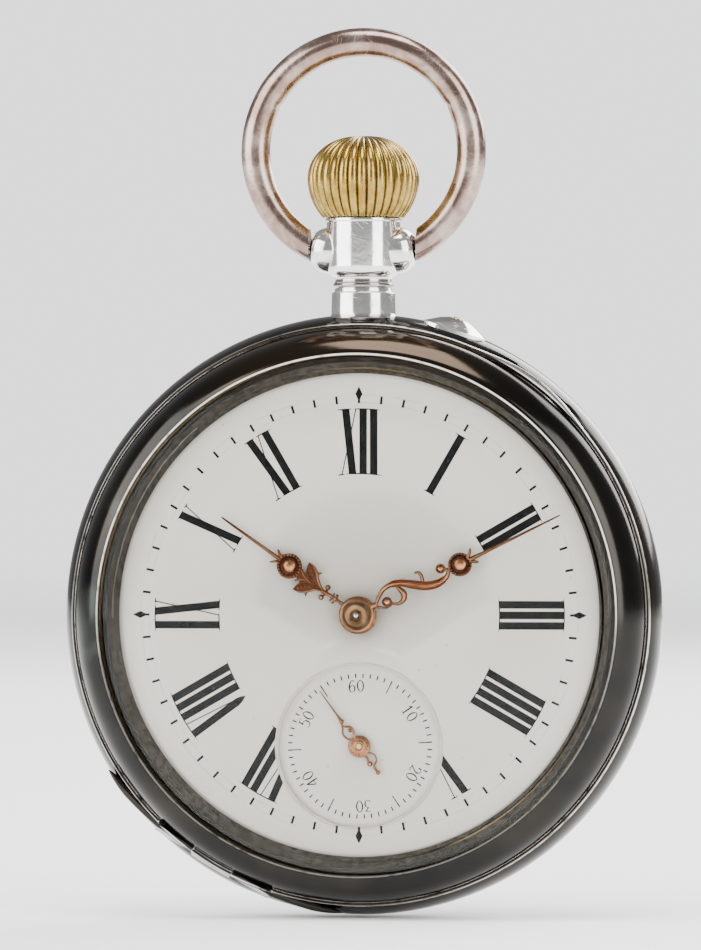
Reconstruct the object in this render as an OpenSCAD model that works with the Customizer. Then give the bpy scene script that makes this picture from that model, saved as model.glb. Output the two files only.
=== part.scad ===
// Open face pocket watch: keyless pin-set lever movement in a hinged three-lid case.
// Every piece is drawn lying on its back (x right, y towards the pendant, z towards the crystal),
// then stand() sets it upright: the dial faces -Y and the pendant points up.
// The origin is the centre of the back cover's flat disc, on the axis of the hands.

/* [Case] */
// Diameter of the movement's main plate
movement_d = 43.2; // [36:0.1:54]
// Distance from the main plate's edge to the outside of the middle band
case_wall = 3.4; // [3:0.1:4.5]
// Height of the middle band between the two seams
band_h = 5.4; // [4.5:0.1:6.6]
// How far the band bulges past its two edges
band_bulge = 0.85; // [0.4:0.05:1]
// Depth of the back cover from its flat disc to its seam
back_h = 4.2; // [4:0.1:5.2]
// Sheet thickness of the back cover
back_t = 0.5; // [0.35:0.05:0.6]
// Sheet thickness of the inner dust cover
cuvette_t = 0.4; // [0.3:0.05:0.5]
// Width of the rim left around the crystal by the bezel
bezel_w = 2.6; // [2.2:0.1:3.2]
// Height of the bezel above the front seam
bezel_h = 3.05; // [2.8:0.05:3.6]
// Height of the crystal's dome above its rim
crystal_dome = 1.1; // [0.6:0.1:1.6]
// Thickness of the crystal
crystal_t = 0.9; // [0.7:0.05:1.1]
// Clock direction of the hinges, in degrees from twelve
hinge_clock = 211; // [200:1:220]
// Clock direction of the thumbnail lips, in degrees from twelve
lip_clock = 38; // [34:1:48]
// Half length of each hinge
hinge_half = 5.5; // [4.5:0.1:6.5]
// Outer radius of the hinge knuckles
knuckle_r = 0.7; // [0.55:0.05:0.8]

/* [Pendant, crown and bow] */
// Height of the bow's pivot above the hands' axis, past the edge of the case
pivot_rise = 5.3; // [5:0.1:7]
// Largest diameter of the crown
crown_d = 9.36; // [7.8:0.1:11.3]
// Height of the crown
crown_h = 6.6; // [5.5:0.1:7.9]
// Number of ribs around the crown
crown_ribs = 34; // [24:1:40]
// Mean diameter of the bow
bow_d = 18.1; // [16.5:0.1:21.8]
// Diameter of the bow's wire
bow_wire = 2.4; // [2:0.1:2.9]
// Radius of the two round bosses that carry the bow
boss_r = 1.95; // [1.6:0.05:2.3]
// Half width across the two bow bosses
boss_x = 4.4; // [4.2:0.1:4.9]

/* [Dial and hands] */
// Thickness of the enamel dial
dial_t = 0.7; // [0.5:0.05:0.9]
// Radius of the opening for the seconds dial
seconds_r = 6.75; // [5.6:0.05:7]
// Clock angle of the hour hand
hour_at = 305.4; // [0:0.1:360]
// Clock angle of the minute hand
minute_at = 63.8; // [0:0.1:360]
// Clock angle of the seconds hand
second_at = 324.3; // [0:0.1:360]
// Length of the hour hand
hour_len = 14; // [11:0.1:15]
// Length of the minute hand
minute_len = 18.8; // [15.5:0.1:19]
// Length of the seconds hand
second_len = 5.7; // [4.5:0.1:6]
// Thickness of the hands
hand_t = 0.25; // [0.18:0.01:0.3]

/* [Movement] */
// Thickness of the main plate
plate_t = 1; // [0.8:0.05:1.1]
// Height of the room for the train between the bridges and the main plate
train_h = 2.6; // [2.55:0.05:3]
// Thickness of the bridges
bridge_t = 1; // [0.9:0.05:1.1]
// Height of the room between the main plate and the dial
motion_h = 0.7; // [0.68:0.01:0.9]
// Radius of the winding stem
stem_r = 0.6; // [0.5:0.02:0.66]

/* [Hidden] */
$fn = 48;

// Clearances
run = 0.04;        // running fit, on the radius
slip = 0.05;       // lid and plate fits, on the radius
air = 0.1;         // free space between moving pieces
eps = 0.01;

// Radii of the case
plate_r = movement_d / 2;
case_r = plate_r + case_wall;
bore_r = plate_r + slip;
edge_r = case_r - band_bulge;
spigot_r = edge_r - 0.45;
spigot_t = 0.4;
spigot_h = 0.35;
ledge_r = plate_r - 0.6;
bulge_r = (pow(band_h / 2, 2) + pow(band_bulge, 2)) / (2 * band_bulge);
opening_r = edge_r - bezel_w;
crystal_r = opening_r - 0.1;
dial_r = plate_r - 0.4;
dial_seen_r = crystal_r - 1.45;

// Heights, from the back cover to the crystal
seam_b = back_h;
seam_f = back_h + band_h;
stem_z = (seam_b + seam_f) / 2;
plate_z = stem_z + stem_r + air;
plate_top = plate_z + plate_t;
bridge_top = plate_z - train_h;
bridge_z = bridge_top - bridge_t;
dial_z = plate_top + motion_h;
dial_top = dial_z + dial_t;
flange_z = dial_top + 0.22;
lip_z = seam_f + bezel_h;
crystal_z = lip_z - 0.35 - crystal_t;
hour_z = dial_top + 0.75;
minute_z = hour_z + hand_t + 0.35;
second_z = dial_z + 0.45;
cap_z = minute_z + hand_t;
cuvette_z = 2.4 * back_h / 4.2;

// Hinges: the axes lie on the seams, just inside the edge of the lids
hinge_r = edge_r - 0.25;
pin_r = 0.3;
lid_half = 1.9;
cuvette_half = 3.65;
knuckle_gap = 0.05;

// Pendant and bow
pivot_y = case_r + pivot_rise;
neck_r = min(2.67, band_h / 2 - 0.03);
collar_top = case_r + 2.1;
barrel_y = case_r + 3;
crown_y = barrel_y + 5.1;
crown_r = crown_d / 2;
crown_round = (crown_h + 0.76) / 2;
crown_mid = crown_y + crown_h - crown_round + 0.18;
pendant_bore = 1.6;
bow_r = bow_d / 2;
bow_end = boss_x + air;
bow_mid = pivot_y + sqrt(pow(bow_r, 2) - pow(bow_end, 2)) + 0.45;

// Setting pin
pin_clock = 18;
pin_dir = [sin(pin_clock), cos(pin_clock)];
set_pin_r = 0.45;
pin_in = plate_r - 1.5;
pin_out = case_r + 0.95;
guard_h = 0.8;
guard_l = 5.4;
guard_w = min(3.8, band_h - 1.4);
guard_sink = 0.45;

// The calibre is laid out for a 43.2 mm plate and grows with it
k = movement_d / 43.2;
function polar(r, a) = [r * cos(a), r * sin(a)];

// Tooth numbers and modules
barrel_n = 80;
centre_pn = 10;
centre_n = 80;
third_pn = 10;
third_n = 75;
fourth_pn = 10;
fourth_n = 80;
escape_pn = 8;
escape_n = 15;
m_barrel = 0.22 * k;
m_centre = 0.17 * k;
m_third = 0.15 * k;
m_fourth = 0.125 * k;
cannon_n = 12;
minute_n = 36;
minute_pn = 10;
hour_n = 40;
m_cannon = 0.15625 * k;
m_hour = 0.15 * k;
setting_an = 24;
setting_bn = 22;
winding_n = 18;
crown_n = 36;
ratchet_n = 59;
m_wind = 0.22 * k;

// Centres of the wheels
barrel_a = 140;
barrel_p = polar(m_barrel * (barrel_n + centre_pn) / 2, barrel_a);
fourth_p = [0, -10.9 * k];
centre_third = m_centre * (centre_n + third_pn) / 2;
third_fourth = m_third * (third_n + fourth_pn) / 2;
third_turn = acos((pow(10.9 * k, 2) + pow(centre_third, 2) - pow(third_fourth, 2))
    / (2 * 10.9 * k * centre_third));
third_p = polar(centre_third, third_turn - 90);
balance_p = [-10.6 * k, -9.6 * k];
fourth_escape = m_fourth * (fourth_n + escape_pn) / 2;
escape_p = fourth_p + polar(fourth_escape, 214.5);
to_balance = (balance_p - escape_p) / norm(balance_p - escape_p);
lever_a = atan2(to_balance[1], to_balance[0]);
pallet_p = escape_p + 3.3 * k * to_balance;
minute_p = [0, m_cannon * (cannon_n + minute_n) / 2];
setting_ap = minute_p + [0, m_cannon * (minute_n + setting_an) / 2];
setting_bp = setting_ap + [0, m_cannon * (setting_an + setting_bn) / 2];
wind_gap = m_wind * (crown_n + ratchet_n) / 2;
crown_wheel_p = [0, barrel_p[1] + sqrt(pow(wind_gap, 2) - pow(barrel_p[0], 2))];
crown_wheel_rim = crown_wheel_p[1] + m_wind * crown_n / 2;

// Radii of the large parts
barrel_r = m_barrel * barrel_n / 2 - 0.4 * k;
balance_r = 6.35 * k;
bridge_r = plate_r - 1.1;
screw_r = 0.42;

// Heights of the train, measured down from the main plate and up from the bridges
ratchet_z = bridge_z + 0.2;
ratchet_t = 0.5;
centre_wz = bridge_top + 0.1;
wheel_t = 0.2;
balance_z = bridge_top + 0.1;
balance_t = 0.4;
fourth_wz = bridge_top + 0.8;
escape_wz = plate_z - 1;
third_wz = plate_z - 0.7;
pallet_z = plate_z - 1.05;
pallet_t = 0.35;
roller_z = pallet_z - 0.4;
pallet_cock_z = balance_z + balance_t + 0.3;
pallet_cock_t = 0.45;
drum_z = bridge_top + 0.5;
drum_top = plate_z - 0.2;
cock_z = bridge_z - 0.5;
cock_t = 0.8;
spring_z = cock_z + cock_t + 0.2;

// Winding and setting, along the stem
winding_tip = stem_z - ratchet_z - ratchet_t + 0.12;
winding_y = crown_wheel_rim - 0.24;
winding_l = 1.4;
clutch_y = winding_y - 2.25;
clutch_l = 2.2;
clutch_r = 1.5;
flange_r = min(1.95, plate_top + motion_h - 0.3 - stem_z);
groove_y = clutch_y + 0.85;
groove_w = 0.5;
groove_r = 0.85;
square = 0.8 * stem_r / 0.6;
yoke_arm = 4.5;
yoke_p = pin_dir * pin_in + yoke_arm * [pin_dir[1], -pin_dir[0]];
yoke_z = stem_z - 0.3;
yoke_t = 0.36;
click_p = [-15.4 * k, 10.9 * k];
cock_foot = [-17.2 * k, -2 * k];
pallet_foot = [-9.7 * k, -16.3 * k];
barrel_pillars = [[-18.1 * k, 4.9 * k], [14 * k, 11 * k], [12.5 * k, 5 * k]];
train_pillars = [[14.5 * k, -2.5 * k], [8.7 * k, -15.4 * k], [-1.6 * k, -18.4 * k]];
case_screw_a = [150, 335];
foot_angles = [25, 160, 275];
foot_r = plate_r - 2;
pillar_r = 1.5;

// Colours
silver = [0.62, 0.6, 0.57];
rose = [0.78, 0.62, 0.56];
brass = [0.75, 0.6, 0.35];
gilt = [0.85, 0.7, 0.42];
steel = [0.6, 0.62, 0.65];
copper = [0.72, 0.42, 0.3];
enamel = [0.95, 0.93, 0.9];
ruby = [0.7, 0.1, 0.2];

// ---------------------------------------------------------------- helpers

module stand() {
    rotate([90, 0, 0]) children();
}

module at(p, z) {
    translate([p[0], p[1], z]) children();
}

module disc(r, h) {
    cylinder(r = r, h = h);
}

module ring(r, hole, h) {
    difference() {
        disc(r, h);
        translate([0, 0, -eps]) disc(hole, h + 2 * eps);
    }
}

// A straight bar with round ends between two points
module bar(a, b, w, h) {
    d = b - a;
    at(a, 0) disc(w, h);
    at(b, 0) disc(w, h);
    at(a, 0) rotate(atan2(d[1], d[0])) translate([0, -w, 0]) cube([norm(d), 2 * w, h]);
}

// Turns a shape drawn up the z axis so that it points outwards at a clock angle
module outwards(clock) {
    translate([0, 0, stem_z]) rotate([0, 0, -clock]) rotate([-90, 0, 0]) children();
}

// Places a shape whose x axis points outwards at a clock angle
module facing(clock) {
    rotate(90 - clock) children();
}

// Points along a gently bulging line from a to b
function bulging(a, b, h, n) = [
    for (i = [0 : n]) let (t = i / n, d = b - a, out = [-d[1], d[0]] / norm(d))
        a + d * t + out * h * 4 * t * (1 - t)
];

function arc(c, r, a, b, n) = [for (i = [0 : n]) c + polar(r, a + (b - a) * i / n)];

// Outline of a toothed wheel; lead turns tooth 0
function teeth(n, r_root, r_tip, w_root, w_tip, lead) = [
    for (i = [0 : n - 1], s = [[r_root, -w_root], [r_tip, -w_tip], [r_tip, w_tip], [r_root, w_root]])
        polar(s[0], lead + (i + s[1]) * 360 / n)
];

module wheel(n, m, lead, h) {
    linear_extrude(h) polygon(teeth(n, m * (n / 2 - 1.2), m * (n / 2 + 0.85), 0.23, 0.1, lead));
}

module pinion(n, m, lead, h) {
    linear_extrude(h) polygon(teeth(n, m * (n / 2 - 1.15), m * (n / 2 + 0.55), 0.19, 0.12, lead));
}

// Spokes and rim cut from a solid wheel
module spokes(r_in, r_out, n, w, h) {
    translate([0, 0, -1]) difference() {
        ring(r_out, r_in, h + 2);
        for (i = [0 : n - 1]) rotate(i * 360 / n + 20) translate([0, -w / 2, -1]) cube([r_out + 1, w, h + 4]);
    }
}

// A flat spiral spring
function turn(a, b, n, s, side) = polar(a + (b - a) * s + side, 360 * n * s);
module spiral(a, b, n, w, h, steps) {
    pts = concat(
        [for (i = [0 : n * steps]) turn(a, b, n, i / (n * steps), w / 2)],
        [for (i = [n * steps : -1 : 0]) turn(a, b, n, i / (n * steps), -w / 2)]
    );
    linear_extrude(h) polygon(pts);
}

// A slotted screw whose head sits at z 0 and whose shank goes up
module screw(head, head_t, shank, len) {
    difference() {
        union() {
            translate([0, 0, -head_t]) disc(head, head_t);
            disc(shank, len);
        }
        translate([-head, -head * 0.12, -head_t - eps]) cube([2 * head, head * 0.24, head_t * 0.45]);
    }
}

// ---------------------------------------------------------------- case

// A knuckle of a hinge on the seam at height z, from a to b along its axis
module knuckle(z, r, a, b) {
    facing(hinge_clock) translate([hinge_r, b, z]) rotate([90, 0, 0]) cylinder(r = r, h = b - a);
}

module knuckle_pair(z, r, a, b) {
    knuckle(z, r, a, b);
    knuckle(z, r, -b, -a);
}

module band_profile() {
    intersection() {
        translate([case_r - bulge_r, stem_z]) circle(bulge_r, $fn = 96);
        translate([ledge_r, seam_b]) square([case_r, band_h]);
    }
}

// The solid outside shape of the band, used to cut the seats of what is soldered on it
module band_blank() {
    rotate_extrude($fn = 96) intersection() {
        translate([case_r - bulge_r, stem_z]) circle(bulge_r, $fn = 96);
        translate([0, seam_b]) square([case_r, band_h]);
    }
    translate([0, 0, seam_b]) disc(case_r - bulge_r + 1, band_h);
}

// The long low rib over the hinges; its ends stand out at the edge of the case
module hinge_rib() {
    half = 27.5;
    mid = case_r - 1;
    end = case_r - 0.1;
    shift = (end * end - mid * mid) / (2 * (mid - end * cos(half)));
    sweep = asin(end * sin(half) / (mid + shift));
    facing(hinge_clock) translate([-shift, 0, seam_f - 0.46]) rotate(-sweep)
        rotate_extrude(angle = 2 * sweep, $fn = 96) translate([mid + shift, 0]) circle(0.45);
}

// The crescent that a lid's edge swells into for the thumbnail
module thumb_lip(h, grow) {
    out = edge_r + 0.42;
    half = 16;
    c = (out * out - edge_r * edge_r) / (2 * (out - edge_r * cos(half)));
    facing(lip_clock) translate([c, 0, 0]) disc(out - c + grow, h);
}

module case_middle() {
    color(silver) stand() difference() {
        union() {
            difference() {
                union() {
                    rotate_extrude($fn = 96) band_profile();
                    translate([0, 0, seam_f - eps]) ring(spigot_r, spigot_r - spigot_t, spigot_h + eps);
                    translate([0, 0, seam_b - spigot_h]) ring(spigot_r, spigot_r - spigot_t, spigot_h + eps);
                    hinge_rib();
                }
                translate([0, 0, plate_z]) disc(bore_r, band_h);
                translate([0, 0, 0]) disc(bore_r, plate_z - 0.6);
                knuckle(seam_b, knuckle_r + knuckle_gap, -cuvette_half - knuckle_gap,
                    cuvette_half + knuckle_gap);
                knuckle(seam_f, knuckle_r + knuckle_gap, -lid_half - knuckle_gap, lid_half + knuckle_gap);
                facing(hinge_clock) translate([spigot_r - 1.5, -cuvette_half - 0.1, 0])
                    cube([2, 2 * cuvette_half + 0.2, seam_b + 0.05]);
                translate([0, 0, seam_f - 0.4]) difference() {
                    thumb_lip(0.5, 0.25);
                    translate([0, 0, -1]) disc(edge_r - 0.25, 3);
                }
            }
            knuckle_pair(seam_b, knuckle_r, cuvette_half + knuckle_gap, hinge_half);
            knuckle_pair(seam_f, knuckle_r, lid_half + knuckle_gap, hinge_half);
        }
        for (z = [seam_b, seam_f]) knuckle(z, pin_r, -hinge_half - 1, hinge_half + 1);
        outwards(0) disc(neck_r - 0.4, case_r + 2);
        outwards(pin_clock) translate([-guard_l / 2, -guard_w / 2, case_r - guard_sink])
            cube([guard_l, guard_w, 2]);
        outwards(pin_clock) disc(set_pin_r + run, case_r + 2);
        outwards(pin_clock) translate([0, 0, bore_r + 0.4]) disc(0.95, 1.95);
    }
}

module pendant() {
    profile = concat(
        [[0, 22.8 - 25 + case_r], [neck_r - 0.4, 22.8 - 25 + case_r], [neck_r - 0.4, case_r - 1.2]],
        [[neck_r, case_r - 1.2], [neck_r, collar_top - 0.1], [neck_r - 0.1, collar_top], [2.4, collar_top]],
        [[2.4, barrel_y - 0.1], [2.35, barrel_y]],
        arc([2.3, barrel_y + 0.75], 0.65, -80, 0, 5),
        [[3.05, barrel_y + 3], [3.08, crown_y - 0.15], [2.95, crown_y - 0.03]],
        [[2.15, crown_y - 0.03], [2.15, crown_y + 0.7], [0, crown_y + 0.7]]
    );
    color(silver) stand() difference() {
        union() {
            difference() {
                outwards(0) rotate_extrude() polygon(profile);
                band_blank();
            }
            outwards(0) translate([0, 0, case_r - 2.2]) disc(neck_r - 0.4 - 0.005, 3);
            for (s = [-1, 1]) translate([0, pivot_y, stem_z]) rotate([0, s * 90, 0])
                rotate_extrude() polygon(concat(
                    [[0, 1.8], [boss_r, 1.8], [boss_r, boss_x - 0.7]],
                    arc([boss_r - 0.45, boss_x - 0.7], 0.45, 0, 60, 4),
                    [[boss_r - 0.9, boss_x - 0.08], [0.5, boss_x], [0, boss_x]]));
        }
        outwards(0) disc(pendant_bore, case_r + 20);
        for (s = [-1, 1]) translate([0, pivot_y, stem_z]) rotate([0, s * 90, 0])
            translate([0, 0, 2.3]) disc(0.45, boss_x);
    }
}

module bezel() {
    slope = bulging([opening_r + 0.35, lip_z - 0.05], [edge_r - 0.36, seam_f + 0.5], 0.28, 8);
    flange_top = max(flange_z, seam_f + spigot_h + slip);
    profile = concat(
        [[spigot_r + slip, seam_f], [edge_r - 0.02, seam_f], [edge_r, seam_f + 0.25],
            [edge_r - 0.12, seam_f + 0.42]],
        [[edge_r - 0.32, seam_f + 0.42]],
        [for (i = [len(slope) - 1 : -1 : 0]) slope[i]],
        [[opening_r + 0.12, lip_z], [opening_r - 0.05, lip_z - 0.08]],
        [[opening_r - 0.12, crystal_z + crystal_t + 0.12], [crystal_r + 0.03, crystal_z + crystal_t]],
        [[crystal_r + 0.03, crystal_z - 0.03], [crystal_r - 0.6, crystal_z - 0.03]],
        [[dial_seen_r, flange_z + 0.2], [dial_seen_r + 0.1, flange_z], [spigot_r - spigot_t - 0.4, flange_z]],
        [[spigot_r - spigot_t - 0.3, flange_top], [spigot_r + slip, flange_top]]
    );
    color(silver) stand() difference() {
        union() {
            difference() {
                union() {
                    rotate_extrude($fn = 96) polygon(profile);
                    translate([0, 0, seam_f]) difference() {
                        thumb_lip(0.35, 0);
                        translate([0, 0, -1]) disc(edge_r - 0.2, 3);
                    }
                }
                for (s = [-1, 1]) knuckle(seam_f, knuckle_r + knuckle_gap,
                    s < 0 ? -hinge_half - 0.1 : lid_half, s < 0 ? -lid_half : hinge_half + 0.1);
            }
            difference() {
                knuckle(seam_f, knuckle_r, -lid_half, lid_half);
                translate([0, 0, -5]) disc(spigot_r + slip + 0.03, 50);
            }
        }
        knuckle(seam_f, pin_r + run, -hinge_half, hinge_half);
    }
}

module crystal() {
    rim = crystal_r - 0.6;
    rise = crystal_z + crystal_t + 0.35;
    out_r = (rim * rim + crystal_dome * crystal_dome) / (2 * crystal_dome);
    half = asin(rim / out_r);
    outer = arc([0, rise + crystal_dome - out_r], out_r, 90, 90 - half, 10);
    inner = [for (p = outer) if (p[0] < rim - 0.7) [p[0], p[1] - crystal_t]];
    color([0.9, 0.95, 0.97, 0.3]) stand() rotate_extrude($fn = 96) polygon(concat(
        outer,
        [[crystal_r, crystal_z + crystal_t - 0.05], [crystal_r, crystal_z], [rim - 0.35, crystal_z]],
        [for (i = [len(inner) - 1 : -1 : 0]) inner[i]]));
}

// Outline of the back cover's dome, moved in by the sheet thickness t
function dome(t) = [
    for (i = [0 : 14]) let (a = 90 * i / 14, flat = 13 * case_r / 25)
        [flat + (edge_r - flat - t) * pow(sin(a), 0.8), t + (seam_b - t) * (1 - pow(cos(a), 0.8))]
];

module back_cover() {
    outer = dome(0);
    inner = [for (p = dome(back_t)) if (p[0] < spigot_r + slip - 0.02 && p[1] < seam_b - 0.4) p];
    profile = concat([[0, 0]], outer,
        [[spigot_r + slip, seam_b], [spigot_r + slip, seam_b - spigot_h - slip]],
        [for (i = [len(inner) - 1 : -1 : 0]) inner[i]], [[0, back_t]]);
    color(silver) stand() difference() {
        union() {
            difference() {
                union() {
                    rotate_extrude($fn = 96) polygon(profile);
                    translate([0, 0, seam_b - 0.35]) difference() {
                        thumb_lip(0.35, 0);
                        translate([0, 0, -1]) disc(edge_r - 0.2, 3);
                    }
                }
                knuckle_pair(seam_b, knuckle_r + knuckle_gap, lid_half, hinge_half + 0.1);
                facing(hinge_clock) for (s = [-1, 1])
                    translate([hinge_r - 0.75, s < 0 ? -cuvette_half - 0.1 : lid_half, seam_b - 0.6])
                        cube([3, cuvette_half + 0.1 - lid_half, 2]);
            }
            difference() {
                knuckle(seam_b, knuckle_r, -lid_half, lid_half);
                translate([0, 0, -5]) disc(spigot_r - 0.05, 50);
            }
        }
        knuckle(seam_b, pin_r + run, -hinge_half, hinge_half);
    }
}

module cuvette() {
    r = spigot_r - spigot_t - 0.1;
    flat = 19 * k;
    shelf = bore_r + 0.15;
    t = cuvette_t;
    color(brass) stand() difference() {
        union() {
            rotate_extrude($fn = 96)
                polygon([[0, cuvette_z], [flat, cuvette_z], [shelf, seam_b - t], [r, seam_b - t],
                [r, seam_b], [shelf - 0.25, seam_b], [flat - 0.12, cuvette_z + t], [0, cuvette_z + t]]);
            facing(hinge_clock) for (s = [-1, 1])
                translate([r - 1, s < 0 ? -cuvette_half : lid_half + knuckle_gap, seam_b - t])
                    cube([hinge_r - r + 1, cuvette_half - lid_half - knuckle_gap, t]);
            knuckle_pair(seam_b, knuckle_r, lid_half + knuckle_gap, cuvette_half);
        }
        knuckle(seam_b, pin_r + run, -hinge_half, hinge_half);
    }
}

module hinge_pins() {
    color(steel) stand() for (z = [seam_b, seam_f]) knuckle(z, pin_r, -hinge_half, hinge_half);
}

module bow() {
    color(rose) stand() difference() {
        translate([0, bow_mid, stem_z]) rotate_extrude($fn = 96) translate([bow_r, 0]) circle(bow_wire / 2);
        translate([-bow_end, bow_mid - bow_r - bow_wire, stem_z - bow_wire])
            cube([2 * bow_end, bow_r + bow_wire, 2 * bow_wire]);
        translate([0, pivot_y, stem_z]) rotate([0, 90, 0]) translate([0, 0, -bow_r * 2])
            disc(0.45 + run, bow_r * 4);
        for (s = [-1, 1]) translate([0, pivot_y, stem_z]) rotate([0, s * 90, 0])
            translate([0, 0, bow_end + 0.8]) disc(0.8, 9);
    }
}

module bow_screws() {
    color(steel) stand() for (s = [-1, 1]) translate([0, pivot_y, stem_z]) rotate([0, s * 90, 0])
        difference() {
        union() {
            translate([0, 0, 2.3]) disc(0.45, bow_end + 0.8 - 2.3);
            translate([0, 0, bow_end + 0.8 + 0.02]) disc(0.8 - run, 0.45);
        }
        translate([-1, -0.1, bow_end + 1.12]) cube([2, 0.2, 1]);
    }
}

module crown() {
    hub = pendant_bore - run;
    color(brass) stand() difference() {
        union() {
            difference() {
                outwards(0) difference() {
                    rotate_extrude() intersection() {
                        union() {
                            translate([crown_r - crown_round, crown_mid]) circle(crown_round, $fn = 64);
                            translate([0, crown_y])
                                square([crown_r - crown_round + 0.01, crown_mid + crown_round - crown_y]);
                        }
                        translate([0, crown_y]) square([crown_d, crown_h]);
                    }
                    for (i = [0 : crown_ribs - 1]) rotate(i * 360 / crown_ribs)
                        translate([crown_r - crown_round, 0, crown_mid]) rotate([90, 0, 0]) rotate(-68)
                            rotate_extrude(angle = 122, $fn = 48) translate([crown_round + 0.1, 0])
                                circle(0.3, $fn = 16);
                }
                outwards(0) disc(2.25, crown_y + 2.4);
            }
            outwards(0) translate([0, 0, crown_y - 4]) disc(hub, 7);
        }
        outwards(0) disc(stem_r, crown_y + 1.6);
    }
}

module stem() {
    color(steel) stand() outwards(0) {
        translate([0, 0, groove_y + 2.9]) disc(stem_r, crown_y + 1.6 - groove_y - 2.9);
        translate([-square / 2, -square / 2, clutch_y - 1.4])
            cube([square, square, groove_y + 3 - clutch_y + 1.4]);
        translate([0, 0, clutch_y - 2.2]) disc(square / 2, 0.85);
    }
}

module set_pin() {
    color(gilt) stand() outwards(pin_clock) {
        translate([0, 0, pin_in]) disc(set_pin_r, pin_out - pin_in);
        translate([0, 0, bore_r + 1.95]) disc(0.8, 0.35);
    }
}

module set_pin_guard() {
    color(silver) stand() difference() {
        outwards(pin_clock) translate([0, 0, case_r - guard_sink]) intersection() {
            rotate([0, 0, 90]) rotate([90, 0, 0]) translate([0, 0, -guard_l]) linear_extrude(2 * guard_l)
                polygon([[-guard_w / 2, 0], [guard_w / 2, 0], [guard_w / 2 - 0.1, guard_sink],
                    [0.6, guard_sink + guard_h],
                    [-0.6, guard_sink + guard_h], [0.1 - guard_w / 2, guard_sink]]);
            rotate([90, 0, 0]) translate([0, 0, -guard_w]) linear_extrude(2 * guard_w)
                polygon([[-guard_l / 2, 0], [guard_l / 2, 0], [guard_l / 2, guard_sink - 0.1],
                    [0.75, guard_sink + guard_h], [-0.75, guard_sink + guard_h],
                        [-guard_l / 2, guard_sink - 0.1]]);
        }
        outwards(pin_clock) disc(set_pin_r + run, case_r + 5);
    }
}

module set_pin_spring() {
    n = 4;
    pitch = 1.4 / n;
    color(steel) stand() outwards(pin_clock) for (i = [0 : n - 1])
        translate([0, 0, bore_r + 0.5 + pitch * i]) rotate_extrude() translate([0.7, 0])
            circle(0.09, $fn = 16);
}

module case_screws() {
    color(steel) stand() for (a = case_screw_a) at(polar(plate_r - 1.3, a), plate_z - 0.65)
        screw(1.05, 0.45, 0.45, 1.2);
}

// ---------------------------------------------------------------- dial and hands

module dial() {
    color(enamel) stand() difference() {
        translate([0, 0, dial_z]) disc(dial_r, dial_t, $fn = 96);
        translate([0, 0, dial_z - 1]) disc(1.55, 3);
        at(fourth_p, dial_z - 1) disc(seconds_r, 3);
    }
}

module seconds_dial() {
    color(enamel) stand() at(fourth_p, dial_z - 0.42) ring(seconds_r + 0.35, 0.45, 0.42);
}

module dial_feet() {
    color(copper) stand() for (a = foot_angles) at(polar(foot_r, a), plate_z + 0.2)
        disc(0.5, dial_z - plate_z - 0.2);
}

module dial_screws() {
    color(steel) stand() for (a = foot_angles) at(polar(foot_r, a), plate_z + 0.5) rotate(a)
        translate([0.5, 0, 0]) rotate([0, 90, 0]) disc(0.3, plate_r - foot_r - 0.6);
}

// A hand lies along +x with its eye at the origin, then turns to its clock angle
module hand(clock, z) {
    translate([0, 0, z]) rotate(90 - clock) children();
}

module boss_of_hand(u, r) {
    translate([u, 0, 0]) disc(r, hand_t * 1.3);
}

module needle(u, w, len) {
    linear_extrude(hand_t) polygon([[u, -w], [len - 0.1, -0.05], [len, 0], [len - 0.1, 0.05], [u, w]]);
}

module hour_hand() {
    color(copper) stand() hand(hour_at, hour_z) difference() {
        union() {
            disc(1.9, hand_t);
            translate([1.5, -0.22, 0]) cube([2.9, 0.44, hand_t]);
            translate([2.2, -0.38, 0]) cube([0.25, 0.76, hand_t]);
            linear_extrude(hand_t)
                polygon([[4.2, 0], [4.4, -1], [5.2, -1.1], [6.2, -0.8], [6.5, 0], [6.2, 0.9],
                [5.2, 1.35], [4.4, 1.3]]);
            boss_of_hand(7, 1.14);
            linear_extrude(hand_t)
                polygon([[7.8, -0.45], [8.7, -0.5], [8.5, -0.12], [8.5, 0.12], [8.6, 0.7], [7.8, 0.5]]);
            needle(8, 0.13, hour_len);
        }
        translate([0, 0, -1]) disc(1.25, 3);
    }
}

module minute_hand() {
    color(copper) stand() hand(minute_at, minute_z) difference() {
        union() {
            disc(1.45, hand_t);
            bar([1.2, -0.1], [2.3, 0], 0.25, hand_t);
            bar([2.3, 0.1], [3.6, 0.95], 0.3, hand_t);
            bar([3.6, 0.95], [5.9, 0], 0.36, hand_t);
            bar([5.9, 0], [7.4, -0.5], 0.36, hand_t);
            bar([7.4, -0.5], [8.4, 0], 0.3, hand_t);
            bar([2.5, -0.25], [4.1, -0.3], 0.22, hand_t);
            boss_of_hand(9.5, 1.05);
            linear_extrude(hand_t)
                polygon([[10.3, -0.4], [10.95, -0.5], [10.9, 0], [10.95, 0.8], [10.2, 0.45]]);
            needle(10.4, 0.15, minute_len);
        }
        translate([0, 0, -1]) disc(0.85, 3);
    }
}

module seconds_hand() {
    color(copper) stand() at(fourth_p, 0) hand(second_at, second_z) difference() {
        union() {
            disc(0.9, hand_t);
            bar([0.8, 0], [2.6, 0], 0.22, hand_t);
            needle(2.6, 0.1, second_len);
            bar([-0.8, 0], [-2.6, 0], 0.2, hand_t);
            translate([-2.65, 0, 0]) disc(0.25, hand_t);
        }
        translate([0, 0, -1]) disc(0.22, 3);
    }
}

module hand_cap() {
    color(brass) stand() translate([0, 0, cap_z]) rotate_extrude()
        polygon([[0, 0], [1.4, 0], [1.45, 0.12], [1.25, 0.34], [0.85, 0.5], [0.45, 0.56], [0.45, 0.66],
            [0, 0.7]]);
}

// ---------------------------------------------------------------- motion work

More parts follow.
